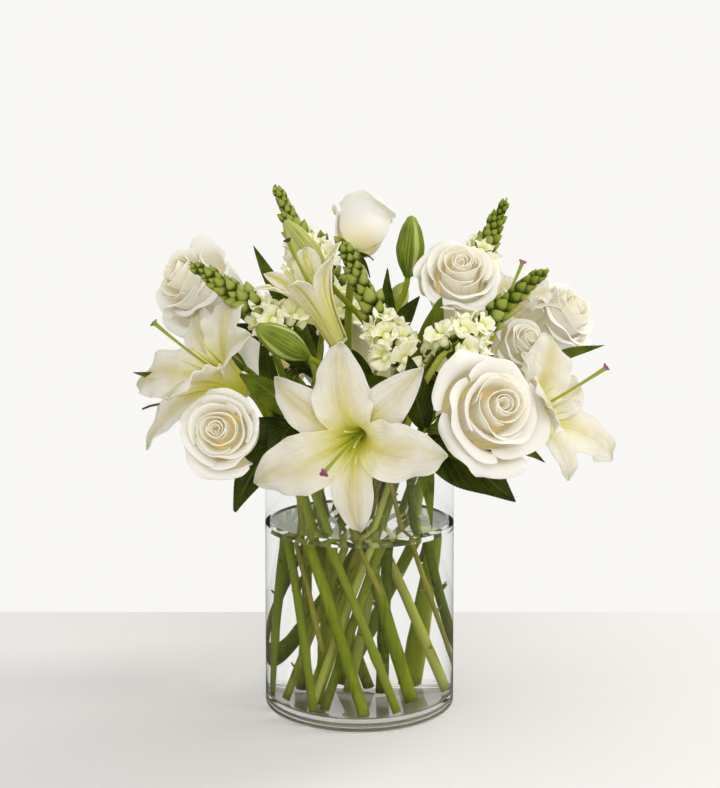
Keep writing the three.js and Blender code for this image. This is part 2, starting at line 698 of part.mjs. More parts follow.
function spikeStem(snapdragon, grow) {
  const route = spikeRoute(snapdragon);
  const radii = tapered(route, STEM_RADII.spike, grow);
  radii[route.length - 1] = SPIKE_TIP_RADIUS + grow;
  return rod(route, radii, 5);
}

// Green buds up the top of the spike, each turned on from the last, small at the tip and round below.
function spikeBuds(snapdragon, grow) {
  const tip = vec(snapdragon.tip);
  const neck = vec(snapdragon.neck);
  const frame = frameAt(neck, tip.clone().sub(neck));
  const long = tip.distanceTo(neck);
  const buds = [];
  for (let k = 0; k < SPIKE_BUDS; k += 1) {
    const share = k / (SPIKE_BUDS - 1);
    const size = BUD_LENGTHS[0] + (BUD_LENGTHS[1] - BUD_LENGTHS[0]) * share;
    const axis = roundZ(0.8 - 0.4 * share, GOLDEN_ANGLE * k, 1).normalize();
    const root = roundZ(SPIKE_TIP_RADIUS, GOLDEN_ANGLE * k, (long - 7) * share ** 0.9 - 1);
    const fat = 0.31 * size + grow;
    const body = turned([[0, -grow], [fat, 0.42 * size], [0, size + grow]], 4);
    buds.push(moved(body, frameAt(root, axis)));
  }
  return buds.map((bud) => moved(bud, frame));
}

// Open florets: ruffled cups that stand out all round the stem below the buds.
function spikeFlorets(snapdragon, grow) {
  const tip = vec(snapdragon.tip);
  const neck = vec(snapdragon.neck);
  const way = tip.clone().sub(neck).normalize();
  const count = snapdragon.florets;
  const draw = draws(7);
  const frame = frameAt(neck, way);
  const sleeve = rod(
    [new THREE.Vector3(0, 0, -FLORET_PITCH * (count + 0.6)), new THREE.Vector3(0, 0, -2.5)],
    Array(2).fill(SLEEVE_RADIUS + grow),
    5,
  );
  const florets = [sleeve];
  for (let k = 0; k < count; k += 1) {
    const share = k / (count - 1);
    const axis = roundZ(1, GOLDEN_ANGLE * k + 40, 0.55 - 0.5 * share).normalize();
    const root = roundZ(1.5, GOLDEN_ANGLE * k + 40, -FLORET_PITCH * (k + 1));
    const out = 17 + 6 * share + grow;
    const radius = 8 + 5 * share + grow;
    const points = [new THREE.Vector3(0, 0, 0), new THREE.Vector3(0, 0, 0.62 * out)];
    const triangles = [];
    for (let i = 0; i < FLORET_RIM; i += 1) {
      const r = radius * (i % 2 ? 0.8 : 1.05) * (0.92 + 0.16 * draw());
      points.push(roundZ(r, (360 / FLORET_RIM) * i, out * (i % 2 ? 0.98 : 0.78)));
      const [here, next] = [2 + i, 2 + ((i + 1) % FLORET_RIM)];
      triangles.push([0, next, here], [1, here, next]);
    }
    florets.push(moved(solid(points, triangles), frameAt(root, axis)));
  }
  return moved(join(florets), frame);
}

// ---------------------------------------------------------------- Shapes of every node

// A shape belongs to a node and has a rank: where two nodes meet, the one of the higher rank gives way.
const RANK = { vase: 0, stem: 1, rose: 2, bloom: 3, pistil: 4, bud: 5, floret: 6, leaf: 7, water: 8 };
const shapes = [];
const addShape = (node, rank, make) => shapes.push({ node, rank: RANK[rank], make });

addShape('vase', 'vase', () => vaseBody());
addShape('water', 'water', () => waterBody());

for (const rose of ROSES) {
  const frame = frameAt(roseBase(rose), facing(rose.turn, rose.rise));
  addShape(`rose_head_${rose.name}`, 'rose', (grow) => moved(roseHead(rose, grow), frame));
  addShape(`rose_stem_${rose.name}`, 'stem', (grow) => roseStem(rose, grow));
}

for (const lily of LILIES) {
  const frame = frameAt(vec(lily.base), facing(lily.turn, lily.rise));
  addShape(`lily_bloom_${lily.name}`, 'bloom', (grow) => moved(lilyBloom(lily, grow), frame));
  addShape(`lily_pistil_${lily.name}`, 'pistil', (grow) => moved(lilyPistil(lily, grow), frame));
}

for (const stem of LILY_STEMS) {
  const node = `lily_stem_${stem.name}`;
  const route = lilyStemRoute(stem);
  addShape(node, 'stem', (grow) => lilyStem(stem, grow));
  for (const bud of stem.buds) addShape(node, 'bud', (grow) => lilyBud(bud, grow));
  for (const item of stem.leaves) addShape(node, 'leaf', (grow) => leaf(route, item, grow));
}

for (const snapdragon of SNAPDRAGONS) {
  const node = `snapdragon_spike_${snapdragon.name}`;
  addShape(node, 'stem', (grow) => spikeStem(snapdragon, grow));
  addShape(node, 'bud', (grow) => join(spikeBuds(snapdragon, grow)));
  addShape(`snapdragon_florets_${snapdragon.name}`, 'floret', (grow) => spikeFlorets(snapdragon, grow));
}

for (const green of GREENS) {
  const node = `leafy_stem_${green.name}`;
  const route = stemRoute(green, vec(green.end), vec(green.aim));
  addShape(node, 'stem', (grow) => rod(route, tapered(route, STEM_RADII.greens, grow), 5));
  for (const item of green.leaves) addShape(node, 'leaf', (grow) => leaf(route, item, grow));
}

// ---------------------------------------------------------------- Clearing and fusing

const touching = (a, b) => a.min.every((_, i) => a.min[i] < b.max[i] && b.min[i] < a.max[i]);

shapes.sort((a, b) => a.rank - b.rank);
for (const [i, shape] of shapes.entries()) {
  shape.body = shape.make(0);
  for (const other of shapes.slice(0, i)) {
    if (other.node === shape.node || !touching(other.body.boundingBox(), shape.body.boundingBox())) continue;
    if (other.body.intersect(shape.body).volume() < LEAST_OVERLAP) continue;
    shape.body = shape.body.subtract(other.make(GAP));
  }
}

const bodies = new Map();
for (const { node, body } of shapes) {
  bodies.set(node, [...(bodies.get(node) ?? []), body]);
}

// ---------------------------------------------------------------- The bouquet

const FINISHES = [
  [/^vase/, COLOURS.glass, 0.05],
  [/^water/, COLOURS.water, 0.05],
  [/^rose_head/, COLOURS.rose, 0.6],
  [/^rose_stem/, COLOURS.roseStem, 0.6],
  [/^lily_bloom/, COLOURS.lily, 0.55],
  [/^lily_pistil/, COLOURS.pistil, 0.5],
  [/^lily_stem/, COLOURS.lilyStem, 0.5],
  [/^snapdragon_spike/, COLOURS.spike, 0.6],
  [/^snapdragon_florets/, COLOURS.floret, 0.6],
  [/^leafy_stem/, COLOURS.greens, 0.45],
];

function meshOf(name, body) {
  const { vertProperties, triVerts } = body.getMesh();
  const geometry = new THREE.BufferGeometry();
  geometry.setAttribute('position', new THREE.BufferAttribute(vertProperties, 3));
  geometry.setIndex(new THREE.BufferAttribute(triVerts, 1));
  const [, color, roughness] = FINISHES.find(([pattern]) => pattern.test(name));
  const mesh = new THREE.Mesh(geometry, new THREE.MeshStandardMaterial({ color, roughness, metalness: 0 }));
  mesh.name = name;
  return mesh;
}

const bouquet = new THREE.Group();
bouquet.name = 'bouquet_in_vase';
for (const [node, parts] of bodies) {
  bouquet.add(meshOf(node, largest(join(parts))));
}

export default bouquet;
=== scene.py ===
import math

import bpy
import numpy as np
from mathutils import Matrix, Vector


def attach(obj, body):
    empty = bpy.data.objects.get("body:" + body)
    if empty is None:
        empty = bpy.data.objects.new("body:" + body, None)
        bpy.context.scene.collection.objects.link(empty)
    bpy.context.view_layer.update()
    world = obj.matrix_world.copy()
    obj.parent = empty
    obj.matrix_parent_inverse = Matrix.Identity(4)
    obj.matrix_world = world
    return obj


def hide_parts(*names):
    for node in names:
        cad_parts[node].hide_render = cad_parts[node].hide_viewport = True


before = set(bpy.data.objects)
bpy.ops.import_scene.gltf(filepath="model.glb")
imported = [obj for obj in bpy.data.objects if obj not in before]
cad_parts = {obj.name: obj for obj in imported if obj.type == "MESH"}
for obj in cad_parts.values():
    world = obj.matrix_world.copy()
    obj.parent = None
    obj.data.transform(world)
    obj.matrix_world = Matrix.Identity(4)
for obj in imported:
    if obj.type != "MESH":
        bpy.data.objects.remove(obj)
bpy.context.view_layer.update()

# ---------------------------------------------------------------- Glass vase
# A straight cylinder of clear glass, blown in one piece with a thick flat foot that is ground
# underneath and marked with two faint rings. Its lip is fire-polished round, and the corner inside the
# foot is rounded. Sizes are millimetres from here on.

MM = 0.001
VASE = {"radius": 75, "tall": 200, "wall": 4, "foot": 10, "lip": 2, "heel": 2, "corner": 4, "ground": 71}
VASE_SIDES = 144
WATER_LEVEL = 143.5
WET_MARGIN = 4.5

# Height, half width and depth of each ring round the foot.
FOOT_RINGS = [(4.1, 0.5, 0.4), (7.8, 0.4, 0.25)]


class Value:
    """A socket of a node tree, written in sums and products like a number."""

    def __init__(self, maker, socket):
        self.maker = maker
        self.socket = socket

    def math(self, operation, first, second=0.5):
        return self.maker.node("ShaderNodeMath", {"operation": operation}, {0: first, 1: second})

    def __add__(self, other):
        return self.math("ADD", self, other)

    def __sub__(self, other):
        return self.math("SUBTRACT", self, other)

    def __rsub__(self, other):
        return self.math("SUBTRACT", other, self)

    def __mul__(self, other):
        return self.math("MULTIPLY", self, other)

    def __truediv__(self, other):
        return self.math("DIVIDE", self, other)

    def __pow__(self, other):
        return self.math("POWER", self, other)

    def __abs__(self):
        return self.math("ABSOLUTE", self)

    def part(self):
        return self.math("FRACT", self)

    __radd__ = __add__
    __rmul__ = __mul__


class Maker:
    """Puts nodes into a tree, each with its settings first and then its values and links."""

    def __init__(self, tree):
        self.tree = tree

    def node(self, kind, settings=None, sockets=None, out=0):
        made = self.tree.nodes.new(kind)
        for key, value in (settings or {}).items():
            setattr(made, key, value)
        for key, value in (sockets or {}).items():
            self.feed(made.inputs[key], value)
        return Value(self, made.outputs[out])

    def feed(self, socket, value):
        if isinstance(value, Value):
            self.tree.links.new(value.socket, socket)
        else:
            socket.default_value = value


class Finish(Maker):
    """A material with one main shader, whose even values are set when it is made."""

    def __init__(self, name, colour, **even):
        self.material = bpy.data.materials.new(name)
        self.material.use_nodes = True
        super().__init__(self.material.node_tree)
        self.shader = self.tree.nodes["Principled BSDF"]
        self.shader.inputs["Base Color"].default_value = (*colour, 1)
        for key, value in even.items():
            self.shader.inputs[key.replace("_", " ")].default_value = value

    def give(self, name, value):
        self.feed(self.shader.inputs[name], value)

    def place(self):
        return self.node("ShaderNodeTexCoord", out="Object")

    def noise(self, scale, vector=None, detail=3.0):
        values = {"Vector": vector or self.place(), "Scale": scale, "Detail": detail, "Roughness": 0.55}
        return self.node("ShaderNodeTexNoise", {}, values)

    def fibres(self, scale, along):
        """Noise drawn out along the height of a piece."""
        stretched = self.node("ShaderNodeMapping", {}, {"Vector": self.place(), "Scale": (1, 1, along)})
        return self.noise(scale, stretched)

    def veins(self, x, y, z=0.0):
        """Noise that follows the marks of a blade, finer across than along."""
        return self.noise(1.0, self.node("ShaderNodeCombineXYZ", {}, {0: x, 1: y, 2: z}))

    def mark(self, axis):
        """What each point of a piece was marked with: x across the blade, y along it, z its kind."""
        painted = self.node("ShaderNodeAttribute", {"attribute_name": "mark"}, out="Vector")
        return self.node("ShaderNodeSeparateXYZ", {}, {0: painted}, out="XYZ".index(axis))

    def step(self, value, low, high, start=0.0, end=1.0):
        values = {"Value": value, "From Min": low, "From Max": high, "To Min": start, "To Max": end}
        return self.node("ShaderNodeMapRange", {"interpolation_type": "SMOOTHSTEP"}, values)

    def blend(self, share, first, second):
        """Colours of red, green and blue, or another blend, mixed by a share."""
        first, second = [(*c, 1) if isinstance(c, tuple) else c for c in (first, second)]
        return self.node("ShaderNodeMix", {"data_type": "RGBA"}, {0: share, 6: first, 7: second}, out=2)

    def fade(self, value, low, high, first, second, start=0.0, end=1.0):
        """From one colour to the next as a value rises from low to high."""
        return self.blend(self.step(value, low, high, start, end), first, second)

    def dress(self, colour, roughness, height=None, deep=0.0):
        """Gives the colour and the roughness, and bumps as deep as `deep` millimetres at a height of 1."""
        self.give("Base Color", colour)
        self.give("Roughness", roughness)
        if height is not None:
            bumps = self.node("ShaderNodeBump", {}, {"Height": height, "Distance": deep * MM})
            self.give("Normal", bumps)

    def clear_in_shade(self):
        """Light passes through to what stands inside, as the sun does through thin clear glass."""
        ray = self.node("ShaderNodeLightPath", out="Is Shadow Ray")
        clear = self.node("ShaderNodeBsdfTransparent")
        clear.socket.node.inputs["Color"].default_value = (0.985, 0.99, 0.985, 1)
        mixed = self.node("ShaderNodeMixShader", {}, {0: ray, 2: clear})
        self.tree.links.new(self.shader.outputs[0], mixed.socket.node.inputs[1])
        self.tree.links.new(mixed.socket, self.tree.nodes["Material Output"].inputs["Surface"])


class Piece:
    """The points, faces and marks of one piece, gathered bit by bit in millimetres."""

    def __init__(self):
        self.points, self.faces, self.marks, self.coats = [], [], [], []
        self.count = 0

    def add(self, points, faces, marks):
        self.points.append(np.asarray(points, dtype=float).reshape(-1, 3))
        self.marks.append(np.asarray(marks, dtype=float).reshape(-1, 3))
        self.faces += [tuple(int(i) + self.count for i in face) for face in faces]
        self.coats += [0] * len(faces)
        self.count += len(self.points[-1])

    def place(self, other, matrix=None, coat=0):
        """Adds another gathering, moved, with its coats counted on from a number."""
        for points, marks in zip(other.points, other.marks):
            self.points.append(points if matrix is None else carried(points, matrix))
            self.marks.append(marks)
        self.faces += [tuple(i + self.count for i in face) for face in other.faces]
        self.coats += [c + coat for c in other.coats]
        self.count += other.count

    def made(self, name, finishes, replaced, slot):
        """The finished object, which stands for a CAD node."""
        mesh = bpy.data.meshes.new(name)
        mesh.from_pydata(np.concatenate(self.points) * MM, [], self.faces)
        marks = mesh.attributes.new("mark", "FLOAT_VECTOR", "POINT")
        marks.data.foreach_set("vector", np.concatenate(self.marks).ravel())
        for finish in finishes:
            mesh.materials.append(finish.material)
        mesh.polygons.foreach_set("material_index", self.coats)
        mesh.polygons.foreach_set("use_smooth", [True] * len(self.faces))
        mesh.update()
        piece = bpy.data.objects.new(name, mesh)
        bpy.context.scene.collection.objects.link(piece)
        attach(piece, "root")
        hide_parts(replaced)


def carried(points, matrix):
    return points @ np.array(matrix.to_3x3()).T + np.array(matrix.translation)


def lathe(profile, sides):
    """A closed body turned round +Z, from [radius, height] points that start and end on the axis."""
    turn = np.linspace(0, 2 * math.pi, sides, endpoint=False)
    rings = [(r * np.cos(turn), r * np.sin(turn), np.full(sides, z)) for r, z in profile[1:-1]]
    points = np.stack(rings).transpose(0, 2, 1).reshape(-1, 3)
    last = len(profile) - 3
    share = np.repeat(np.linspace(0, 1, last + 1), sides)
    marks = np.stack([np.tile(np.cos(turn), last + 1), share, np.zeros(len(points))], axis=1)
    faces = []
    for j in range(last):
        for i in range(sides):
            a, b = j * sides + i, j * sides + (i + 1) % sides
            faces.append((a, b, b + sides, a + sides))
    low, high = len(points), len(points) + 1
    faces += [(low, (i + 1) % sides, i) for i in range(sides)]
    faces += [(high, last * sides + i, last * sides + (i + 1) % sides) for i in range(sides)]
    ends = [(0, 0, profile[0][1]), (0, 0, profile[-1][1])]
    body = Piece()
    body.add(np.concatenate([points, ends]), faces, np.concatenate([marks, [(0, 0, 0), (0, 1, 0)]]))
    return body


def arc(centre, radius, start, end, steps=6):
    """Points of a round in a profile, by angles from level outwards."""
    turns = np.radians(np.linspace(start, end, steps + 1))
    return [(centre[0] + radius * math.cos(a), centre[1] + radius * math.sin(a)) for a in turns]


def clear_finish(name, colour, bending, **even):
    """Clear glass or water that bends light by its index against what lies behind it."""
    return Finish(name, colour, Roughness=0.0, IOR=bending, Transmission_Weight=1.0, **even)


outer, inner = VASE["radius"], VASE["radius"] - VASE["wall"]
heel, lip, corner = VASE["heel"], VASE["lip"], VASE["corner"]
ring_profile = []
for middle, half, deep in FOOT_RINGS:
    ring_profile += [(outer, middle - half), (outer - deep, middle), (outer, middle + half)]
glass_profile = [
    (0, 0),
    (VASE["ground"], 0),
    *arc((outer - heel, heel), heel, -90, 0),
    *ring_profile,
    (outer, 0.5 * VASE["tall"]),
    (outer, WATER_LEVEL),
    *arc((outer - lip, VASE["tall"] - lip), lip, 0, 180, 10),
    (inner, WATER_LEVEL - WET_MARGIN),
    (inner, 0.5 * VASE["tall"]),
    *arc((inner - corner, VASE["foot"] + corner), corner, 0, -90),
    (outer * 0.5, VASE["foot"]),
    (0, VASE["foot"]),
]

# Below the water line the outside bends light as glass in air and the inside as glass against water.
# Above it the vase is thin clear glass with a weak gloss. Under the foot it is ground and worn, and painted
# dark brown: a little grime, but mostly painted shade of the shaded table beneath it.
GLASS = 1.5
WATER = 1.333
faint = (0.985, 0.995, 0.99)
clear_glass = clear_finish("clear_vase_glass", faint, GLASS)
wet_glass = clear_finish("clear_glass_in_water", (1, 1, 1), GLASS / WATER)
satin = {"Roughness": 0.12, "IOR": GLASS, "Transmission Weight": 0.15}
# Painted shade: the ground underside is dark brown. It stands mostly for the shaded table seen through the
# foot, with a little grime.
worn_and_shaded_glass = Finish("worn_glass_under_foot", (0.22, 0.195, 0.15), **satin)
worn_and_shaded_grain = worn_and_shaded_glass.noise(900.0, detail=5.0)
worn_and_shaded_glass.give("Base Color", worn_and_shaded_glass.blend(worn_and_shaded_grain, (0.15, 0.13, 0.092), (0.33, 0.295, 0.22)))
dry_glass = clear_finish("clear_glass_above_water", faint, 1.0, Coat_Weight=0.5, Coat_Roughness=0.0)
glasses = [clear_glass, wet_glass, worn_and_shaded_glass, dry_glass]
for glass in glasses:
    glass.clear_in_shade()

vase = lathe(glass_profile, VASE_SIDES)
first_dry = VASE_SIDES * (glass_profile.index((outer, WATER_LEVEL)) - 1)
first_wet = VASE_SIDES * (glass_profile.index((inner, WATER_LEVEL - WET_MARGIN)) - 1)
vase.coats = [glasses.index(clear_glass if k < first_wet else wet_glass) for k in range(len(vase.faces))]
vase.coats[first_dry:first_wet] = [glasses.index(dry_glass)] * (first_wet - first_dry)
vase.coats[-2 * VASE_SIDES : -VASE_SIDES] = [glasses.index(worn_and_shaded_glass)] * VASE_SIDES
vase.made("vase_glass", glasses, "vase", "vase_glass")

# ---------------------------------------------------------------- Water
# Tap water up to three quarters of the vase. It wets the glass all over, so it has no gap to it here
# and its own side is not seen, and it climbs the wall a little at its edge.

WET = 0.3
MENISCUS = 1.6

edge = inner + WET
water_profile = [
    (0, VASE["foot"] - WET),
    (outer * 0.5, VASE["foot"] - WET),
    *arc((edge - corner, VASE["foot"] - WET + corner), corner, -90, 0),
    (edge, 0.5 * WATER_LEVEL),
    (edge, WATER_LEVEL - WET_MARGIN),
    (edge, WATER_LEVEL + MENISCUS),
    *[(inner - d, WATER_LEVEL + MENISCUS * math.exp(-d / 1.3)) for d in (0.3, 0.8, 1.5, 2.5, 4, 7)],
    (outer * 0.5, WATER_LEVEL),
    (0, WATER_LEVEL),
]
water_clear = clear_finish("clear_water", (1, 1, 1), WATER)
water_clear.clear_in_shade()
at_glass = clear_finish("water_at_the_glass", (1, 1, 1), WATER, Alpha=0.0)
water = lathe(water_profile, VASE_SIDES)
first_free = VASE_SIDES * (water_profile.index((edge, WATER_LEVEL - WET_MARGIN)) - 1)
waters = [water_clear, at_glass]
water.coats = [waters.index(at_glass if k < first_free else water_clear) for k in range(len(water.faces))]
water.coats[-2 * VASE_SIDES : -VASE_SIDES] = [waters.index(at_glass)] * VASE_SIDES
water.made("vase_water", waters, "water", "water")

# ---------------------------------------------------------------- Rose stems
# Cut rose stems with their thorns taken off: round, woody and a little bent, each ending in a green
# calyx whose five sepals lie back under the head.

# Each ring of stems: radius at the mouth, radius at the floor, and the lean round the axis in degrees.
RINGS = {"outer": (52, 64, 75), "middle": (37, 49, -85), "inner": (22, 33, 100)}
MOUTH_HEIGHT = 186
FOOT_CLEARANCE = 1.9
ROSE_SEAT = 0.36
ROSE_STEM = {"foot": 3.3, "end": 2.8, "joints": 5, "swell": 0.22}
STEM_SIDES = 14
STEM_STEPS = 22
SEPAL = {"long": 19, "wide": 8, "count": 5}

# Name, centre, turn from the front to the right, rise from level, width, openness, ring and place.
ROSES = [
    ("front_left", (-95, -78, 226), -12, 14, 75, 0.9, "outer", -50),
    ("front_right", (89, -85, 241), 20, 18, 90, 1.1, "outer", 48),
    ("top_right", (76, -21, 329), 0, 40, 79, 0.9, "inner", 60),
    ("top", (0, 40, 374), 165, 55, 69, 0.6, "inner", -150),
    ("right", (158, 50, 296), 60, 35, 76, 1.0, "outer", 112),
    ("left", (-124, 26, 324), -50, 30, 86, 1.0, "outer", -106),
    ("right_small", (121, -17, 281), 30, 30, 54, 0.7, "middle", 56),
    ("back_left", (-72, 102, 262), -150, 20, 80, 1.0, "outer", -148),
    ("back_right", (76, 108, 258), 150, 18, 84, 1.0, "outer", 148),
]


def facing(turn, rise):
    a, e = math.radians(turn), math.radians(rise)
    return Vector((math.sin(a) * math.cos(e), -math.cos(a) * math.cos(e), math.sin(e)))


def frame_at(base, axis):
    """Carries what is drawn round local +Z to a base, with local +Y as near upright as it goes."""
    z = Vector(axis).normalized()
    up = Vector((0, 1, 0)) if abs(z.z) > 0.98 else Vector((0, 0, 1))
    x = up.cross(z).normalized()
    turned = Matrix((x, z.cross(x), z)).transposed().to_4x4()
    turned.translation = Vector(base)
    return turned


def polar(radius, turn, height):
    a = math.radians(turn)
    return Vector((radius * math.sin(a), -radius * math.cos(a), height))


def bezier(controls, t):
    """A point or points of a curve with any number of control points."""
    t = np.asarray(t, dtype=float)[..., None]
    level = [np.asarray(c, dtype=float) for c in controls]
    while len(level) > 1:
        level = [a * (1 - t) + b * t for a, b in zip(level, level[1:])]
    return level[0]


def sweep(start, leaving, end, arriving, steps):
    """Points of a curve that leaves along one way and arrives along another."""
    start, end = Vector(start), Vector(end)
    pull = (end - start).length * 0.38
    controls = [start, start + pull * Vector(leaving), end - pull * Vector(arriving), end]
    return bezier(controls, np.linspace(0, 1, steps + 1))


def stem_route(ring, at, end, aim, cut=0.0):
    """From the floor of the vase, or higher where cut short, straight to its mouth and on in a curve."""
    mouth, foot, lean = RINGS[ring]
    rim = polar(mouth, at, MOUTH_HEIGHT)
    start = polar(foot, at + lean, VASE["foot"] + FOOT_CLEARANCE).lerp(rim, cut)
    upward = (rim - start).normalized()
    straight = np.linspace(np.array(start), np.array(rim), STEM_STEPS)[:-1]
    return np.concatenate([straight, sweep(rim, upward, end, Vector(aim).normalized(), STEM_STEPS)])


def along(route, share):
    """The point and the way of a route at a share of its length."""
    lengths = np.linalg.norm(np.diff(route, axis=0), axis=1)
    run = np.concatenate([[0], np.cumsum(lengths)])
    i = min(int(np.searchsorted(run, share * run[-1], side="right")) - 1, len(lengths) - 1)
    way = Vector(route[i + 1] - route[i]).normalized()
    return Vector(route[i]) + way * (share * run[-1] - run[i]), way


def opened_tree(name, inputs, output):
    """A new tree of nodes with named inputs, its maker, and what is put into each input."""
    tree = bpy.data.node_groups.new(name, "GeometryNodeTree")
    for label, kind in inputs.items():
        tree.interface.new_socket(label, in_out="INPUT", socket_type=f"NodeSocket{kind}")
    tree.interface.new_socket(output, in_out="OUTPUT", socket_type="NodeSocketGeometry")
    maker = Maker(tree)
    given = tree.nodes.new("NodeGroupInput")
    return maker, [Value(maker, given.outputs[label]) for label in inputs]


def closed_tree(maker, geometry, finish):
    """Ends a tree: what was placed becomes real faces and takes its finish."""
    real = maker.node("GeometryNodeRealizeInstances", {}, {"Geometry": geometry})
    coated = maker.node("GeometryNodeSetMaterial", {}, {"Geometry": real, "Material": finish})
    maker.feed(maker.tree.nodes.new("NodeGroupOutput").inputs[0], coated)
    return maker.tree


def stem_tree():
    """Nodes that give a path round walls: its radius is on its points, and `mark` keeps its length."""
    inputs = {"Path": "Geometry", "Sides": "Int", "Finish": "Material"}
    maker, (path, sides, finish) = opened_tree("stem_along_path", inputs, "Stem")
    share = maker.node("GeometryNodeSplineParameter", out="Factor")
    triple = maker.node("ShaderNodeCombineXYZ", {}, {"Y": share})
    settings = {"data_type": "FLOAT_VECTOR", "domain": "POINT"}
    values = {"Geometry": path, "Name": "mark", "Value": triple}
    marked = maker.node("GeometryNodeStoreNamedAttribute", settings, values)
    ring = maker.node("GeometryNodeCurvePrimitiveCircle", {}, {"Resolution": sides, "Radius": 1.0})
    thick = maker.node("GeometryNodeInputRadius")
    values = {"Curve": marked, "Profile Curve": ring, "Scale": thick, "Fill Caps": True}
    return closed_tree(maker, maker.node("GeometryNodeCurveToMesh", {}, values), finish)


def grown(source, tree, inputs):
    """Runs a tree on an object and gathers the plain mesh that it makes."""
    holder = bpy.data.objects.new("growing", source)
    bpy.context.scene.collection.objects.link(holder)
    modifier = holder.modifiers.new("growing", "NODES")
    modifier.node_group = tree
    for item in tree.interface.items_tree:
        if item.in_out == "INPUT" and item.name in inputs:
            modifier[item.identifier] = inputs[item.name]
    ready = holder.evaluated_get(bpy.context.evaluated_depsgraph_get())
    mesh = bpy.data.meshes.new_from_object(ready)
    points = np.empty(len(mesh.vertices) * 3)
    mesh.vertices.foreach_get("co", points)
    marks = np.zeros(len(mesh.vertices) * 3)
    if "mark" in mesh.attributes:
        mesh.attributes["mark"].data.foreach_get("vector", marks)
    gathered = Piece()
    gathered.add(points, [tuple(face.vertices) for face in mesh.polygons], marks)
    bpy.data.objects.remove(holder)
    bpy.data.meshes.remove(mesh)
    return gathered


STEM_TREE = stem_tree()


def stem(route, radii, finish, sides=STEM_SIDES, tone=0.5):
    """A round stem through points, with a radius for each, darker or paler by its tone."""
    path = bpy.data.curves.new("path", "CURVE")
    path.dimensions = "3D"
    path.twist_mode = "MINIMUM"
    line = path.splines.new("POLY")
    line.points.add(len(route) - 1)
    line.points.foreach_set("co", np.column_stack([route, np.ones(len(route))]).ravel())
    line.points.foreach_set("radius", radii)
    walls = grown(path, STEM_TREE, {"Sides": sides, "Finish": finish.material})
    walls.marks[0][:, 2] = tone
    bpy.data.curves.remove(path)
    return walls


def taper(route, foot, end, joints=0, swell=0.0):
    """Radii from foot to end, with a slight swelling at each of the joints between."""
    share = np.linspace(0, 1, len(route))
    radii = foot + (end - foot) * share
    for k in range(joints):
        radii *= 1 + swell * np.exp(-(((share - (k + 0.6) / joints) / 0.012) ** 2))
    return radii


def smooth(value, low, high):
    x = np.clip((value - low) / (high - low), 0, 1)
    return x * x * (3 - 2 * x)


def sheet(surface, across, lengthwise, thick, detail=None, kind=0.0, even=False):
    """A thin blade over surface(s, t), closed along its edges, where its two faces meet.

    s runs from -1 to 1 across and t from 0 at the root to 1 at the tip. `detail` is how far a point is
    raised off the surface. The rows lie closer together towards the sides and the tip, so that the
    edge is as thin as it should be, unless they are even lengthwise."""
    s = np.linspace(-1, 1, across + 1)
    t = np.linspace(0, 1, lengthwise + 1)
    s = s * (1.5 - 0.5 * s * s)
    t = t if even else t * (1.5 - 0.5 * t * t)
    s, t = np.meshgrid(s, t)

    def normals(points):
        normal = np.cross(np.gradient(points, axis=1), np.gradient(points, axis=0))
        return normal / np.maximum(np.linalg.norm(normal, axis=2, keepdims=True), 1e-9)

    points = surface(s, t)
    if detail is not None:
        points = points + normals(points) * detail(s, t)[..., None]
    half = normals(points) * (thick / 2)
    at_edge = (np.abs(s) == 1) | (t == 0) | (t == 1)
    upper = np.arange(s.size).reshape(s.shape)
    lower = upper.copy()
    lower[~at_edge] = upper.size + np.arange((~at_edge).sum())
    half[at_edge] = 0
    faces = []
    for j in range(lengthwise):
        for i in range(across):
            faces.append((upper[j, i], upper[j, i + 1], upper[j + 1, i + 1], upper[j + 1, i]))
            faces.append((lower[j, i], lower[j + 1, i], lower[j + 1, i + 1], lower[j, i + 1]))
    marks = np.stack([s, t, np.full_like(s, kind)], axis=2)
    everything = [(points + half).reshape(-1, 3), (points - half)[~at_edge]]
    blade = Piece()
    blade.add(np.concatenate(everything), faces, np.concatenate([marks.reshape(-1, 3), marks[~at_edge]]))
    return blade


def stem_finish(name, dark, light, stripes=900.0):
    """Green bark in long fine stripes, paler in long streaks and by the stem's tone, with a waxy bloom."""
    finish = Finish(name, dark, Specular_IOR_Level=0.03)
    fibre = finish.fibres(stripes, 0.06)
    patches = finish.noise(60.0)
    share = finish.step(fibre * 0.6 + patches * 0.4, 0.35, 0.65)
    lengths = finish.fibres(22.0, 0.35)
    worn = finish.fade(lengths + finish.mark("Z") * 0.7, 0.6, 1.1, dark, light)
    finish.dress(finish.blend(share * 0.5, worn, light), 0.62 - 0.2 * share, fibre, 0.15)
    return finish


def stubs(piece, route, radius, count, finish, draw):
    """Short cut ends of the leaf stalks and thorns that were taken off the lower stem."""
    for _ in range(count):
        start, way = along(route, draw.uniform(0.06, 0.6))
        out = way.cross(Vector(draw.uniform(-1, 1, 3))).normalized()
        reach = radius + draw.uniform(1.5, 4.0)
        bend = [start, start + 0.6 * reach * out, start + reach * out + 0.45 * reach * way]
        path = bezier(bend, np.linspace(0, 1, 5))
        piece.place(stem(path, np.linspace(0.5 * radius, 0.22 * radius, 5), finish, 8))


rose_bark = stem_finish("rose_stem_bark", (0.055, 0.08, 0.003), (0.22, 0.265, 0.025))


def out_and_side(turn):
    """The level ways out from the axis and across, for a petal or sepal at a turn in degrees."""
    a = math.radians(turn)
    return np.array([math.cos(a), math.sin(a), 0]), np.array([-math.sin(a), math.cos(a), 0])


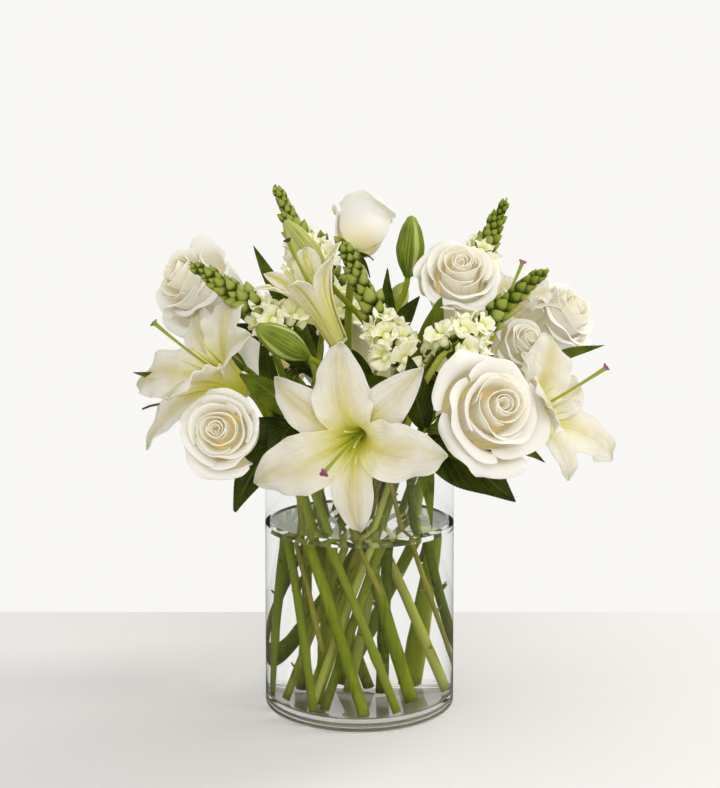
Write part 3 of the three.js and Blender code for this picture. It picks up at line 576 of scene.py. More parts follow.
def sepal(k):
    """One of the five green sepals that lie back under the head."""
    out, side = out_and_side(360 / SEPAL["count"] * k + 18)
    controls = [(4.8, 0.5), (10, 1.5), (15, -3), (SEPAL["long"], -8 - 3 * (k % 2))]

    def surface(s, t):
        rib = bezier(controls, t)
        half = 0.5 * SEPAL["wide"] * (1 - t) ** 0.6 * (0.75 + 0.25 * np.cos(math.pi * t))
        return rib[..., :1] * out + (s * half)[..., None] * side + rib[..., 1:] * np.array([0, 0, 1.0])

    return sheet(surface, 6, 10, 0.7, lambda s, t: 0.9 * s * s)


for number, (name, centre, turn, rise, wide, _, ring, at) in enumerate(ROSES):
    draw = np.random.default_rng(10 + number)
    axis = facing(turn, rise)
    base = Vector(centre) - ROSE_SEAT * wide * axis
    route = stem_route(ring, at, base - 6 * axis, axis)
    piece = Piece()
    piece.place(stem(route, taper(route, **ROSE_STEM), rose_bark, tone=draw.random()))
    stubs(piece, route, 3.0, 4, rose_bark, draw)
    cup = lathe([(0, -8), (3.1, -7.6), (4.8, -5.2), (5.7, -3), (5.8, -1.4), (5.2, -0.35), (0, -0.35)], 18)
    head_frame = frame_at(base, axis)
    piece.place(cup, head_frame)
    for k in range(SEPAL["count"]):
        piece.place(sepal(k), head_frame)
    piece.made(f"stem_of_rose_{name}", [rose_bark], f"rose_stem_{name}", "rose_stem")

# ---------------------------------------------------------------- Rose heads
# Ivory garden roses, open to different degrees: thin silky petals wound in a spiral round the heart,
# upright inside and rolled back at the rims outside, warm cream where they lie deep: partly their own colour
# and partly painted warm shade, with a faint painted glow in the depths.

ROSE_TALL = 0.82
ROSE_PETALS = 15
HEART_PETALS = 6
GOLDEN_ANGLE = 137.508
PETAL_THICK = 0.6

# The petals give off a faint warm light (Emission): a painted glow that stands in for light shining through
# and between them.
rose_silk = Finish(
    "rose_petal_silk", (0.9, 0.86, 0.76), Subsurface_Weight=0.3, Subsurface_Radius=(1.0, 0.9, 0.6),
    Subsurface_Scale=0.004, Sheen_Weight=0.1, Sheen_Roughness=0.4, Specular_IOR_Level=0.3,
    Emission_Strength=0.15,
)
height, layer_out = rose_silk.mark("Y"), rose_silk.mark("Z")
lit = height + layer_out * 0.45
# The deep cream low in each petal and in the heart is partly the petals' own colour and partly painted warm
# shade of light bounced between the petals.
ivory_and_deep_shade = rose_silk.fade(lit, 0.45, 0.95, (0.9, 0.78, 0.44), (0.89, 0.87, 0.79))
warm_heart_and_shade = rose_silk.fade(layer_out, 0.0, 0.6, ivory_and_deep_shade, (0.92, 0.83, 0.56), 0.5, 0.0)
green_foot = rose_silk.fade(height, 0.02, 0.25, warm_heart_and_shade, (0.7, 0.74, 0.35), 0.7, 0.0)
rose_veins = rose_silk.veins(rose_silk.mark("X") * 20.0, height * 1.6, layer_out * 40.0)
veined = rose_silk.fade(rose_veins, 0.3, 0.75, green_foot, (0.94, 0.92, 0.86), 0.0, 0.2)
rose_silk.dress(veined, 0.5 + 0.14 * rose_veins, rose_veins * 0.6 + rose_silk.noise(900.0) * 0.2, 0.2)
# Painted glow: strongest where the petals lie deep, faint at the outer rims.
rose_silk.give("Emission Color", rose_silk.fade(lit, 0.35, 0.95, (1.0, 0.86, 0.52), (0.25, 0.22, 0.14)))


def rose_petal(half, tall, open_, layer, at, draw):
    """A petal of the spiral; layer is 0 at the heart and 1 at the outside. It cups up from its root,
    flares out, and rolls back, more at its sides than at the point in its middle."""
    rim = half * (0.13 + (0.44 + 0.3 * open_) * layer)
    flare = half * (0.02 + 0.2 * open_ * smooth(layer, 0.1, 1.0)) * draw.uniform(0.85, 1.15)
    throat = rim - flare
    high = tall * (1 - 0.27 * open_ * layer**1.5) * draw.uniform(0.98, 1.02)
    root = tall * (0.2 - 0.17 * layer)
    roll = half * (0.015 + 0.125 * layer) * draw.uniform(0.8, 1.2)
    span = math.radians(98 - 34 * layer)
    waves = draw.uniform(0, 2 * math.pi, 3)
    lean = draw.uniform(-0.04, 0.07)
    middle = draw.uniform(-0.3, 0.3)
    sag = 0.1 * half * layer * draw.uniform(-1, 1)
    tilt = (0.02 + 0.07 * layer) * draw.uniform(-1, 1, 2)
    controls = [
        (0.04 * half, root), (1.4 * throat, root + 0.06 * tall), (1.02 * throat, 0.6 * high),
        (throat + 0.1 * flare, 0.97 * high), (rim, high),
    ]

    def surface(s, t):
        v = t * (1 - (0.14 + 0.1 * layer) * np.abs(s) ** 1.8)
        profile = bezier(controls, v)
        curl = smooth(v, 0.66, 1.0) * (0.6 + 1.7 * layer)
        curl = curl * (1.3 - 0.85 * np.exp(-(((s - middle) / 0.3) ** 2)))
        wavy = (0.3 + 2.0 * layer) * v**4
        r = profile[..., 0] + roll * np.sin(curl) + wavy * np.sin(3.2 * s + waves[0])
        z = profile[..., 1] - roll * (1 - np.cos(curl)) + wavy * np.sin(2.6 * s + waves[1])
        z = z + sag * v**3
        r = r * (1 + (0.07 + lean) * s) + 0.05 * half * layer * np.abs(s) ** 3 * t * t
        a = at + s * span * (0.45 + 0.55 * np.sin(0.5 * math.pi * np.clip(t / 0.55, 0, 1)))
        x, y = r * np.cos(a), r * np.sin(a)
        return np.stack([x + tilt[0] * z, y + tilt[1] * z, z - tilt[0] * x - tilt[1] * y], axis=2)

    return surface


def heart_petal(half, tall, share, at, draw):
    """A petal rolled tight in the middle; share is 0 at the very centre."""
    rim = half * (0.025 + 0.1 * share)
    belly = half * (0.08 + 0.12 * share)
    high = tall * (0.95 + 0.05 * share) * draw.uniform(0.99, 1.01)
    span = math.radians(160 - 50 * share)
    wave = draw.uniform(0, 2 * math.pi)

    def surface(s, t):
        v = t * (1 - 0.1 * np.abs(s) ** 2.5)
        radius = belly * (1 - v) ** 0.8 * v**0.3 * 1.6 + rim * smooth(v, 0.2, 1.0)
        radius = radius * (1 + 0.22 * s) + 0.3 * np.sin(3 * s + wave) * v**4
        radius = radius + 0.05 * half * smooth(v, 0.85, 1)
        z = tall * 0.3 + (high - tall * 0.3) * v
        a = at + s * span
        return np.stack([radius * np.cos(a), radius * np.sin(a), z], axis=2)

    return surface


def set_at(body, base, axis):
    """A gathering drawn round local +Z, carried to its base."""
    placed = Piece()
    placed.place(body, frame_at(base, axis))
    return placed


for number, (name, centre, turn, rise, wide, open_, *_) in enumerate(ROSES):
    draw = np.random.default_rng(40 + number)
    axis = facing(turn, rise)
    base = Vector(centre) - ROSE_SEAT * wide * axis
    half, tall = wide / 2, ROSE_TALL * wide
    head = Piece()
    for k in range(HEART_PETALS):
        share = k / (HEART_PETALS - 1)
        surface = heart_petal(half, tall, share, math.radians(GOLDEN_ANGLE * k), draw)
        head.place(sheet(surface, 20, 12, PETAL_THICK, kind=0.0))
    for k in range(ROSE_PETALS):
        layer = (1 - k / (ROSE_PETALS - 1)) ** 1.2
        around = math.radians(GOLDEN_ANGLE * (7 - k) + draw.uniform(-8, 8))
        surface = rose_petal(half, tall, open_, layer, around, draw)
        head.place(sheet(surface, 28, 26, PETAL_THICK, kind=layer))
    set_at(head, base, axis).made(f"petals_of_rose_{name}", [rose_silk], f"rose_head_{name}", "rose_petal")

# ---------------------------------------------------------------- Lily stems, buds and leaves
# Thick smooth green stems that branch into stalks, closed buds ribbed along their three seams, and
# narrow glossy leaves with parallel veins, all grown as one plant.

# Each bloom: where its base is, which way it turns and rises, how far its tepals reach and how deep
# they stand, where its style ends, its broad inner and narrow outer tepals as (turn, length, lift), and
# the colour of its stigma.
LILIES = {
    "front": {
        "base": (3, -72, 226), "turn": -16, "rise": -5, "reach": 74, "depth": 46, "style": (-6, -10, 78),
        "inner": [(95, 1, 0), (204, 1.1, 0), (355, 0.96, 0)],
        "outer": [(46, 1.04, 0), (142, 1, 0), (274, 0.92, 0)], "stigma": (0.42, 0.09, 0.2),
    },
    "left": {
        "base": (-86, -36, 252), "turn": -50, "rise": 30, "reach": 74, "depth": 44, "style": (-20, 12, 86),
        "inner": [(90, 1, 8), (195, 1.25, 8), (302, 0.8, 40)],
        "outer": [(140, 1.1, 4), (245, 1.12, 8), (25, 0.9, 22)], "stigma": (0.3, 0.42, 0.08),
    },
    "top": {
        "base": (-16, -38, 288), "turn": -60, "rise": 60, "reach": 44, "depth": 60, "style": (-4, 4, 88),
        "inner": [(20, 1, 24), (140, 1, 24), (260, 1, 24)],
        "outer": [(80, 1, 24), (200, 1, 24), (320, 1, 24)], "stigma": (0.16, 0.03, 0.07),
    },
    "right": {
        "base": (112, -28, 222), "turn": 46, "rise": 28, "reach": 76, "depth": 44, "style": (30, 10, 86),
        "inner": [(58, 1, 16), (190, 0.75, 42), (328, 1.2, 0)],
        "outer": [(12, 0.9, 8), (126, 0.75, 32), (268, 0.8, 8)], "stigma": (0.5, 0.14, 0.26),
    },
    "right_upper": {
        "base": (98, 20, 282), "turn": 62, "rise": 58, "reach": 50, "depth": 44, "style": (8, 8, 74),
        "inner": [(95, 1, 10), (215, 1, 30), (335, 1, 28)],
        "outer": [(35, 1, 20), (155, 1, 20), (275, 1, 30)], "stigma": (0.55, 0.16, 0.3),
    },
    "back": {
        "base": (0, 62, 226), "turn": 180, "rise": 6, "reach": 66, "depth": 46, "style": (6, -6, 78),
        "inner": [(85, 1, 0), (205, 0.9, 12), (325, 0.9, 12)],
        "outer": [(25, 0.9, 8), (145, 0.9, 8), (265, 1, 2)], "stigma": (0.36, 0.3, 0.12),
    },
}

# Blooms as (lily, share of the stem), buds as (base, tip, width, share, ripeness), leaves as (share,
# tip, width, arch).
LILY_STEMS = {
    "front": {
        "ring": "inner", "at": -28, "end": (-16, -34, 262), "aim": (-0.3, -0.2, 0.9),
        "blooms": [("front", 0.86), ("top", 0.96)],
        "buds": [((-37, -71, 280), (-74, -90, 305), 24, 0.93, 0)],
        "leaves": [
            (0.9, (24, -58, 262), 20, 6), (0.88, (-48, -66, 250), 18, 4), (0.78, (12, -60, 172), 15, 6),
        ],
    },
    "left": {
        "ring": "outer", "at": -72, "end": (-70, -30, 228), "aim": (-0.6, -0.3, 0.7),
        "blooms": [("left", 0.97)],
        "buds": [((-92, 22, 262), (-128, 40, 280), 19, 0.94, 0)],
        "leaves": [(0.95, (-76, -8, 296), 18, -4), (0.92, (-104, -4, 198), 20, 12)],
    },
    "right": {
        "ring": "outer", "at": 86, "end": (78, 12, 234), "aim": (0.6, 0, 0.8),
        "blooms": [("right", 0.95), ("right_upper", 0.99)],
        "buds": [],
        "leaves": [
            (0.95, (146, 26, 236), 20, 8), (0.94, (124, -2, 204), 19, 10), (0.98, (112, 64, 256), 18, 6),
        ],
    },
    "back": {
        "ring": "inner", "at": 124, "end": (14, 2, 276), "aim": (0, 0, 1),
        "blooms": [("back", 0.86)],
        "buds": [
            ((38, 0, 336), (41, 0, 386), 24, 0.99, 0), ((-26, 2, 335), (-58, -16, 382), 23, 0.99, 0.75),
            ((26, 88, 302), (40, 120, 328), 21, 0.92, 0.3),
        ],
        "leaves": [
            (0.97, (22, -12, 345), 15, -4), (0.95, (48, 10, 322), 17, 4), (0.9, (-34, 44, 262), 20, 10),
        ],
    },
}
LILY_STEM = {"foot": 4.3, "end": 3.2, "joints": 6, "swell": 0.07}
STALK = {"bloom": 2.8, "bud": 2.3, "steps": 14}

lily_bark = stem_finish("lily_stem_skin", (0.1, 0.14, 0.004), (0.32, 0.375, 0.028), stripes=600.0)

bud_skin = Finish(
    "lily_bud_skin", (0.3, 0.42, 0.12), Specular_IOR_Level=0.15, Subsurface_Weight=0.15,
    Subsurface_Radius=(0.5, 1.0, 0.3), Subsurface_Scale=0.003,
)
rib, run = bud_skin.mark("X"), bud_skin.mark("Y")
streaks = bud_skin.veins(rib * 6.0, run * 1.2)
stripes = bud_skin.step(streaks, 0.42, 0.6)
striped = bud_skin.blend(stripes, (0.075, 0.125, 0.005), (0.24, 0.3, 0.03))
bud_green = bud_skin.fade(rib + streaks * 0.3, 0.85, 1.15, striped, (0.46, 0.51, 0.15))
bud_tip = bud_skin.fade(run, 0.75, 1.0, bud_green, (0.3, 0.37, 0.06), 0.0, 0.7)
bud_foot = bud_skin.fade(run, 0.0, 0.2, bud_tip, (0.1, 0.18, 0.02), 0.7, 0.0)
ripening = bud_skin.blend(stripes * 0.6 + 0.4, bud_foot, (0.68, 0.68, 0.24))
ripe_or_not = bud_skin.blend(bud_skin.mark("Z"), bud_foot, ripening)
bud_skin.dress(ripe_or_not, 0.42 + 0.15 * streaks, streaks, 0.3)


def leaf_finish(name, dark, light, vein, side_veins, gloss=0.38):
    """Leaf skin: a pale midrib, side veins or parallel ones, and a waxy blotchy gloss."""
    finish = Finish(name, dark, Specular_IOR_Level=0.15)
    across, length = abs(finish.mark("X")), finish.mark("Y")
    if side_veins:
        slanted = (length * side_veins - across * 3.0).part()
    else:
        slanted = (across * 6.0).part()
    ridge = finish.step(abs(slanted - 0.5), 0.36, 0.5)
    midrib = finish.step(across, 0.0, 0.09, 1.0, 0.0)
    patches = finish.noise(70.0, detail=4.0)
    veined = finish.blend(ridge * 0.4, finish.fade(patches, 0.3, 0.7, dark, light), vein)
    bumps = midrib * 0.6 - ridge * 0.5 + finish.noise(500.0) * 0.25
    finish.dress(finish.blend(midrib * 0.85, veined, vein), gloss + 0.2 * patches, bumps, 0.6)
    return finish


lily_leaf = leaf_finish("lily_leaf_skin", (0.028, 0.046, 0.001), (0.08, 0.112, 0.004), (0.15, 0.19, 0.03), 0)

# Leaves whose tip lies in front of this turn their upper side to the front, the others to the back.
FRONT_PART = 22


def leaf(root, tip, wide, arch, draw, teeth=0, rows=40):
    """A pointed leaf whose rib arches up between its ends, with its upper side out of the bouquet."""
    root, tip = Vector(root), Vector(tip)
    whole = tip - root
    middle = root + 0.5 * whole + Vector((0, 0, 2 * arch))
    outwards = Vector((tip.x / 160, -1 if tip.y < FRONT_PART else 1, 0.35))
    side = whole.cross(outwards).normalized()
    up = np.array(side.cross(whole).normalized())
    side = np.array(side)
    waves = draw.uniform(0, 2 * math.pi, 3)
    bow = draw.uniform(-0.04, 0.04) * whole.length

    def surface(s, t):
        half = 1.6 * (1 - t) ** 3 + (wide / 2) * np.sin(math.pi * t**0.9) ** 0.95
        if teeth:
            half = half * (1 + 0.05 * (np.abs(((t * teeth) % 1) - 0.5) - 0.25))
        bent = (s * half + bow * np.sin(math.pi * t) ** 2)[..., None] * side
        risen = 0.28 * np.abs(s) * half + 0.05 * wide * np.sin(9 * t + waves[0] + 1.3 * s) * s * s
        return bezier([root, middle, tip], t) + bent + risen[..., None] * up

    def detail(s, t):
        groove = -0.6 * np.exp(-((s / 0.1) ** 2)) * (1 - t)
        return groove + 0.25 * np.sin(14 * t + waves[1]) * np.abs(s)

    return sheet(surface, 12, rows, 0.7, detail, even=True)


def lily_bud(base, tip, wide, ripe):
    """A closed bud: three broad ridges with a seam between each, blunt at the tip, pale when ripe."""
    axis = Vector(tip) - Vector(base)
    long, sides, rows = axis.length, 36, 26
    t = np.linspace(0, 1, rows + 1)[1:-1]
    knots, radii = [0, 0.08, 0.2, 0.46, 0.76, 0.92, 1], [0.2, 0.34, 0.72, 1.0, 0.74, 0.42, 0.0]
    outline = np.interp(t, knots, radii)
    outline = np.convolve(np.pad(outline, 2, "edge"), np.ones(5) / 5, "valid") * wide / 2
    turn = np.linspace(0, 2 * math.pi, sides, endpoint=False)
    body = lathe([(0, 0), *zip(outline, t * long), (0, long)], sides)
    swell = np.cos(3 * turn)
    seam = 1 + 0.05 * swell - 0.07 * np.exp(-(((1 + swell) / 0.12) ** 2))
    body.points[0][: sides * len(t), :2] *= np.tile(seam, len(t))[:, None]
    body.marks[0][: sides * len(t), 0] = np.tile(-swell, len(t))
    body.marks[0][:, 2] = ripe
    return set_at(body, base, axis)


for number, (name, plant) in enumerate(LILY_STEMS.items()):
    draw = np.random.default_rng(70 + number)
    route = stem_route(plant["ring"], plant["at"], plant["end"], plant["aim"])
    piece = Piece()
    piece.place(stem(route, taper(route, **LILY_STEM), lily_bark, 18, 0.25 + 0.2 * number))
    for lily, share in plant["blooms"]:
        bloom = LILIES[lily]
        start, way = along(route, share)
        axis = facing(bloom["turn"], bloom["rise"])
        stalk = sweep(start, way, Vector(bloom["base"]) - 0.8 * axis, axis, STALK["steps"])
        radii = STALK["bloom"] + 0.5 * np.linspace(0, 1, len(stalk)) ** 6
        piece.place(stem(stalk, radii, lily_bark, 16))
    for base, tip, wide, share, ripe in plant["buds"]:
        start, way = along(route, share)
        axis = (Vector(tip) - Vector(base)).normalized()
        stalk = sweep(start, way, Vector(base) + 2 * axis, axis, STALK["steps"])
        piece.place(stem(stalk, np.full(len(stalk), STALK["bud"]), lily_bark))
        piece.place(lily_bud(base, tip, wide, ripe), coat=1)
    for share, tip, wide, arch in plant["leaves"]:
        piece.place(leaf(along(route, share)[0], tip, wide, arch, draw), coat=2)
    piece.made(f"plant_of_lily_{name}", [lily_bark, bud_skin, lily_leaf], f"lily_stem_{name}", "lily_stem")

# ---------------------------------------------------------------- Lily blooms
# Six thick waxy tepals each, three broad ones inside three narrow ones: a green tube at the base, a
# trumpet with a yellow-green groove along each rib, ruffled edges and tips that turn back.

TUBE_RADIUS = 5
OUTER_SHIFT = 2.6
SEAT = {"radius": 8, "tall": 1.8}

lily_wax = Finish(
    "lily_tepal_wax", (0.93, 0.92, 0.85), Subsurface_Weight=0.3, Subsurface_Radius=(1.0, 0.95, 0.7),
    Subsurface_Scale=0.005, Specular_IOR_Level=0.3, Sheen_Weight=0.05, Emission_Strength=0.15,
)
sideways, outward, kind = [lily_wax.mark(axis) for axis in "XYZ"]
young = lily_wax.step(kind, 1.0, 1.5)
middle = lily_wax.step(abs(sideways), 0.1, 0.75, 1.0, 0.0)
blush = lily_wax.step(lily_wax.noise(34.0, detail=2.0), 0.25, 0.6)
cream = lily_wax.blend(middle * blush, (0.82, 0.775, 0.665), (0.7, 0.62, 0.37))
white = lily_wax.fade(outward, 0.2, 0.55, (0.77, 0.69, 0.3), cream)
rib_wide = lily_wax.step(abs(sideways), 0.03, 0.26, 1.0, 0.0)
rib_long = lily_wax.step(outward + young * -0.5, 0.28, 0.78, 1.0, 0.0)
ribbed = lily_wax.blend(rib_wide * rib_long * 0.85, white, (0.57, 0.51, 0.07))
deep_in = lily_wax.step(outward, 0.1, 0.36, 1.0, 0.0) * (1.0 - 0.6 * young)
throat = lily_wax.blend(deep_in, ribbed, (0.66, 0.62, 0.03))
tipped = lily_wax.fade(outward, 0.93, 1.0, throat, (0.6, 0.68, 0.35), 0.0, 0.55)
# Painted glow: the tepals give off a faint light (Emission), yellow deep in the throat and stronger over the
# whole young bloom. It stands in for light shining through them.
painted_glow = lily_wax.fade(outward, 0.15, 0.75, (0.85, 0.8, 0.08), (0.12, 0.11, 0.07))
lily_wax.give("Emission Color", lily_wax.blend(young, painted_glow, (0.65, 0.62, 0.26)))
lily_veins = lily_wax.veins(sideways * 26.0, outward * 2.0, kind * 9.0)
lily_lines = lily_wax.fade(lily_veins, 0.4, 0.7, tipped, (0.72, 0.68, 0.45), 0.0, 0.2)
papillae = lily_wax.noise(1400.0, detail=1.0) * lily_wax.step(outward, 0.2, 0.55, 1.0, 0.0)
crinkle = lily_wax.veins(sideways * 4.0, outward * 9.0, kind * 5.0)
bumps = lily_veins + papillae * 0.4 + crinkle * 1.2
lily_wax.dress(lily_lines, 0.4 + 0.16 * lily_veins, bumps, 1.0)


def tepal(reach, depth, at, length, lift, broad, young, draw):
    """The surface of one tepal and its ruffles and rib. A young one is smoother and keeps green ribs."""
    end = reach * length * (1 - 0.006 * lift)
    shift = 0 if broad else OUTER_SHIFT
    turning = (0.62 * end, 0.92 * depth) if young else (0.5 * end, 1.15 * depth)
    controls = [
        (TUBE_RADIUS + shift, 0), (8 + shift, 0.9 * depth - shift),
        (turning[0], turning[1] + 0.4 * lift - shift), (end, 0.78 * depth + lift - shift),
    ]
    half_wide = reach * (0.29 if broad else 0.21) * (0.88 if young else 1.0)
    out, side = out_and_side(at)
    waves = draw.uniform(0, 2 * math.pi, 4)
    ruffle = (3.2 if broad else 1.3) * draw.uniform(0.8, 1.3) * (0.25 if young else 1.0)
    hook = draw.uniform(0.3, 1.0) * (0.3 if young else 1.0)

    def surface(s, t):
        rib = bezier(controls, t)
        way = bezier(np.diff(np.array(controls, dtype=float), axis=0), t)
        way = way / np.linalg.norm(way, axis=2, keepdims=True)
        half = 3 * (1 - t) ** 2 + half_wide * np.sin(math.pi * t**1.35) ** 0.74
        bend = (1 - smooth(t, 0.2, 0.7)) / (rib[..., 0] + 1) - 0.014 * smooth(t, 0.5, 0.9) + 1e-6
        wide = np.sin(bend * s * half) / bend
        inward = (1 - np.cos(bend * s * half)) / bend + 1.2 * (np.abs(s) - 0.5) * smooth(t, 0.3, 0.6)
        inward = inward - 5 * hook * smooth(t, 0.82, 1.0) ** 2
        r = rib[..., 0] - way[..., 1] * inward
        z = rib[..., 1] + way[..., 0] * inward
        return r[..., None] * out + wide[..., None] * side + z[..., None] * np.array([0, 0, 1.0])

    def detail(s, t):
        live = smooth(t, 0.28, 0.5) * (1 - smooth(t, 0.93, 1.0))
        edge_s = np.abs(s) ** 2.5
        left = np.sin(15 * t + waves[0]) + 0.6 * np.sin(29 * t + waves[1])
        right = np.sin(13 * t + waves[2]) + 0.6 * np.sin(33 * t + waves[3])
        ruffles = ruffle * edge_s * live * np.where(s < 0, left, right)
        groove = -1.7 * np.exp(-((s / 0.09) ** 2)) + 0.7 * np.exp(-(((np.abs(s) - 0.24) / 0.1) ** 2))
        return ruffles + groove * smooth(t, 0.1, 0.3) * (1 - smooth(t, 0.75, 1.0))

    return sheet(surface, 24, 48, 1.0, detail, kind=draw.random() + (1.5 if young else 0.0))


seat_wide, seat_tall = SEAT["radius"], SEAT["tall"]
seat = [(0, 0), (seat_wide * 0.8, 0), (seat_wide, 0.7), (seat_wide * 0.9, seat_tall), (0, seat_tall)]
for number, (name, lily) in enumerate(LILIES.items()):
    draw = np.random.default_rng(110 + number)
    bloom = lathe(seat, 24)
    for broad in (True, False):
        for at, length, lift in lily["inner" if broad else "outer"]:
            bloom.place(tepal(lily["reach"], lily["depth"], at, length, lift, broad, name == "top", draw))
    placed = set_at(bloom, lily["base"], facing(lily["turn"], lily["rise"]))
    placed.made(f"tepals_of_lily_{name}", [lily_wax], f"lily_bloom_{name}", "lily_petal")

# ---------------------------------------------------------------- Lily pistils
# A green style that swells into a three-lobed sticky stigma, and six filaments round it. The florist
# has pulled the anthers off, so each filament ends in a small pale tip.

FILAMENTS = 6
OVARY_TALL = 17
STIGMA_RADIUS = 3.0

soft = {"Subsurface_Weight": 0.2, "Subsurface_Scale": 0.002, "Specular_IOR_Level": 0.15}
style_skin = Finish("style_skin", (0.3, 0.36, 0.04), **soft)
style_mottle = style_skin.noise(300.0)
style_green = style_skin.blend(style_skin.mark("Y"), (0.42, 0.5, 0.04), (0.24, 0.31, 0.02))
style_mottled = style_skin.blend(style_mottle * 0.3, style_green, (0.5, 0.56, 0.16))
style_skin.dress(style_mottled, 0.35 + 0.2 * style_mottle)

filament_skin = Finish("filament_skin", (0.5, 0.55, 0.1), **soft)
filament_tip = filament_skin.fade(filament_skin.mark("Y"), 0.55, 0.97, (0.42, 0.48, 0.03), (0.7, 0.7, 0.28))
filament_skin.dress(filament_tip, 0.4 + 0.15 * filament_skin.noise(400.0))


def stigma_finish(name, colour):
    """Sticky three-lobed end of a style, darker in fine grains."""
    finish = Finish(f"stigma_{name}", colour, Coat_Weight=0.4, Coat_Roughness=0.2)
    grain = finish.noise(900.0)
    grainy = finish.fade(grain, 0.35, 0.6, tuple(0.45 * c for c in colour), colour)
    finish.dress(grainy, 0.35 + 0.3 * grain, grain, 0.4)
    return finish


def stigma(radius):
    """A low knob with three lobes."""
    side = [(1.1, -2.3), (1.5, -1.4), (2.3, -0.3), (2.9, 0.5), (2.5, 1.2), (1.2, 1.4)]
    body = lathe([(0, -2.4), *side, (0, 0.8)], 24)
    points = body.points[0]
    turn = np.arctan2(points[:, 1], points[:, 0])
    reach = np.hypot(points[:, 0], points[:, 1]) / 2.9
    points[:, :2] *= (radius / 2.9) * (1 + 0.28 * np.cos(3 * turn) * smooth(reach, 0.4, 0.9))[:, None]
    return body


for number, (name, lily) in enumerate(LILIES.items()):
    draw = np.random.default_rng(150 + number)
    foot = seat_tall + 0.35
    top = foot + OVARY_TALL
    tip = Vector(lily["style"])
    controls = [(0, 0, foot), (0, 0, tip.z * 0.45), (tip.x * 0.4, tip.y * 0.4, tip.z * 0.75), tuple(tip)]
    share = np.linspace(0, 1, 25)
    curve = bezier(controls, share)
    parts = Piece()
    ovary = [(0, foot), (3.1, foot), (3.4, foot + 5), (2.9, top - 4), (1.4, top), (0, top + 0.5)]
    parts.place(lathe(ovary, 18))
    parts.place(stem(curve, 1.0 + 0.7 * share**5, style_skin, 12))
    parts.place(stigma(STIGMA_RADIUS), frame_at(tip, Vector(curve[-1] - curve[-2])), coat=2)
    for k in range(FILAMENTS):
        a = math.radians(360 / FILAMENTS * k + 20)
        out = Vector((math.cos(a), math.sin(a), 0))
        spread = 12 + draw.uniform(-1.5, 2.5)
        high = lily["depth"] * 1.22 + draw.uniform(-3, 3)
        root = 2.2 * out + Vector((0, 0, foot + 1))
        bow = 0.5 * spread * out + Vector((0, 0, 0.62 * high))
        share = np.linspace(0, 1, 13)
        thread = bezier([root, bow, spread * out + Vector((0, 0, high))], share)
        radii = np.interp(share, [0, 0.85, 0.93, 1], [0.95, 0.62, 0.5, 0.85])
        parts.place(stem(thread, radii, filament_skin, 8), coat=1)
    placed = set_at(parts, lily["base"], facing(lily["turn"], lily["rise"]))
    finishes = [style_skin, filament_skin, stigma_finish(name, lily["stigma"])]
    placed.made(f"pistil_of_lily_{name}", finishes, f"lily_pistil_{name}", "lily_pistil")

# ---------------------------------------------------------------- Snapdragon spikes
# Green spikes crowded with closed buds that overlap like scales, smallest at the tip, each one grown
# in a spiral on a round green stem.

BUD_SHAPE = {"rows": 6, "sides": 8, "low": 15.5, "high": 8.0}
SPIKE_BUDS = 40
SPIKE_STEM = {"foot": 2.8, "end": 2.3}
SPIKE_TIP = 0.9
FLORET_PITCH = 4.8

# Name, tip, the neck where the buds give way to open florets, ring and place, number of florets.
SNAPDRAGONS = [
    ("top_left", (-68, 20, 411), (-47, 22, 366), "middle", -100, 5),
    ("left", (-127, -48, 350), (-74, -46, 312), "middle", -62, 6),
    ("middle", (-16, -30, 369), (16, -36, 304), "middle", 12, 7),
    ("top_right", (121, 40, 401), (101, 42, 358), "inner", 90, 4),
    ("right", (142, -44, 345), (90, -52, 303), "middle", 44, 7),
    ("back", (-34, 112, 374), (-22, 94, 322), "middle", -168, 6),
]

spike_bark = stem_finish("snapdragon_stem_skin", (0.14, 0.165, 0.008), (0.42, 0.45, 0.09))
small_bud = Finish("snapdragon_bud_skin", (0.35, 0.45, 0.14), Specular_IOR_Level=0.15)
lobe, bud_run, age = [small_bud.mark(axis) for axis in "XYZ"]
bud_patch = small_bud.noise(160.0)
# Painted shade: each bud is near black low down, where the buds crowd over one another, and paler towards
# its tip.
bud_root_shade = small_bud.fade(bud_run, 0.3, 0.75, (0.04, 0.062, 0.001), (0.2, 0.245, 0.012))
bud_high = small_bud.fade(bud_run, 0.7, 1.0, bud_root_shade, (0.3, 0.35, 0.04), 0.0, 0.7)
# One side of each bud, above its root, is paler: partly a pale sepal edge, partly a painted highlight.
bud_edge_and_highlight = small_bud.step(lobe, 0.55, 0.95) * small_bud.step(bud_run, 0.25, 0.6)
bud_old = small_bud.step(age, 0.3, 1.1) * small_bud.step(bud_run, 0.3, 0.8)
bud_ripe = small_bud.blend(bud_old * 0.75, bud_high, (0.46, 0.5, 0.14))
bud_pale = small_bud.blend(bud_edge_and_highlight * 0.7, bud_ripe, (0.42, 0.47, 0.1))
bud_patched = small_bud.blend(bud_patch * 0.3, bud_pale, (0.1, 0.15, 0.008))
small_bud.dress(bud_patched, 0.5 + 0.25 * bud_patch, small_bud.noise(1200.0), 0.2)


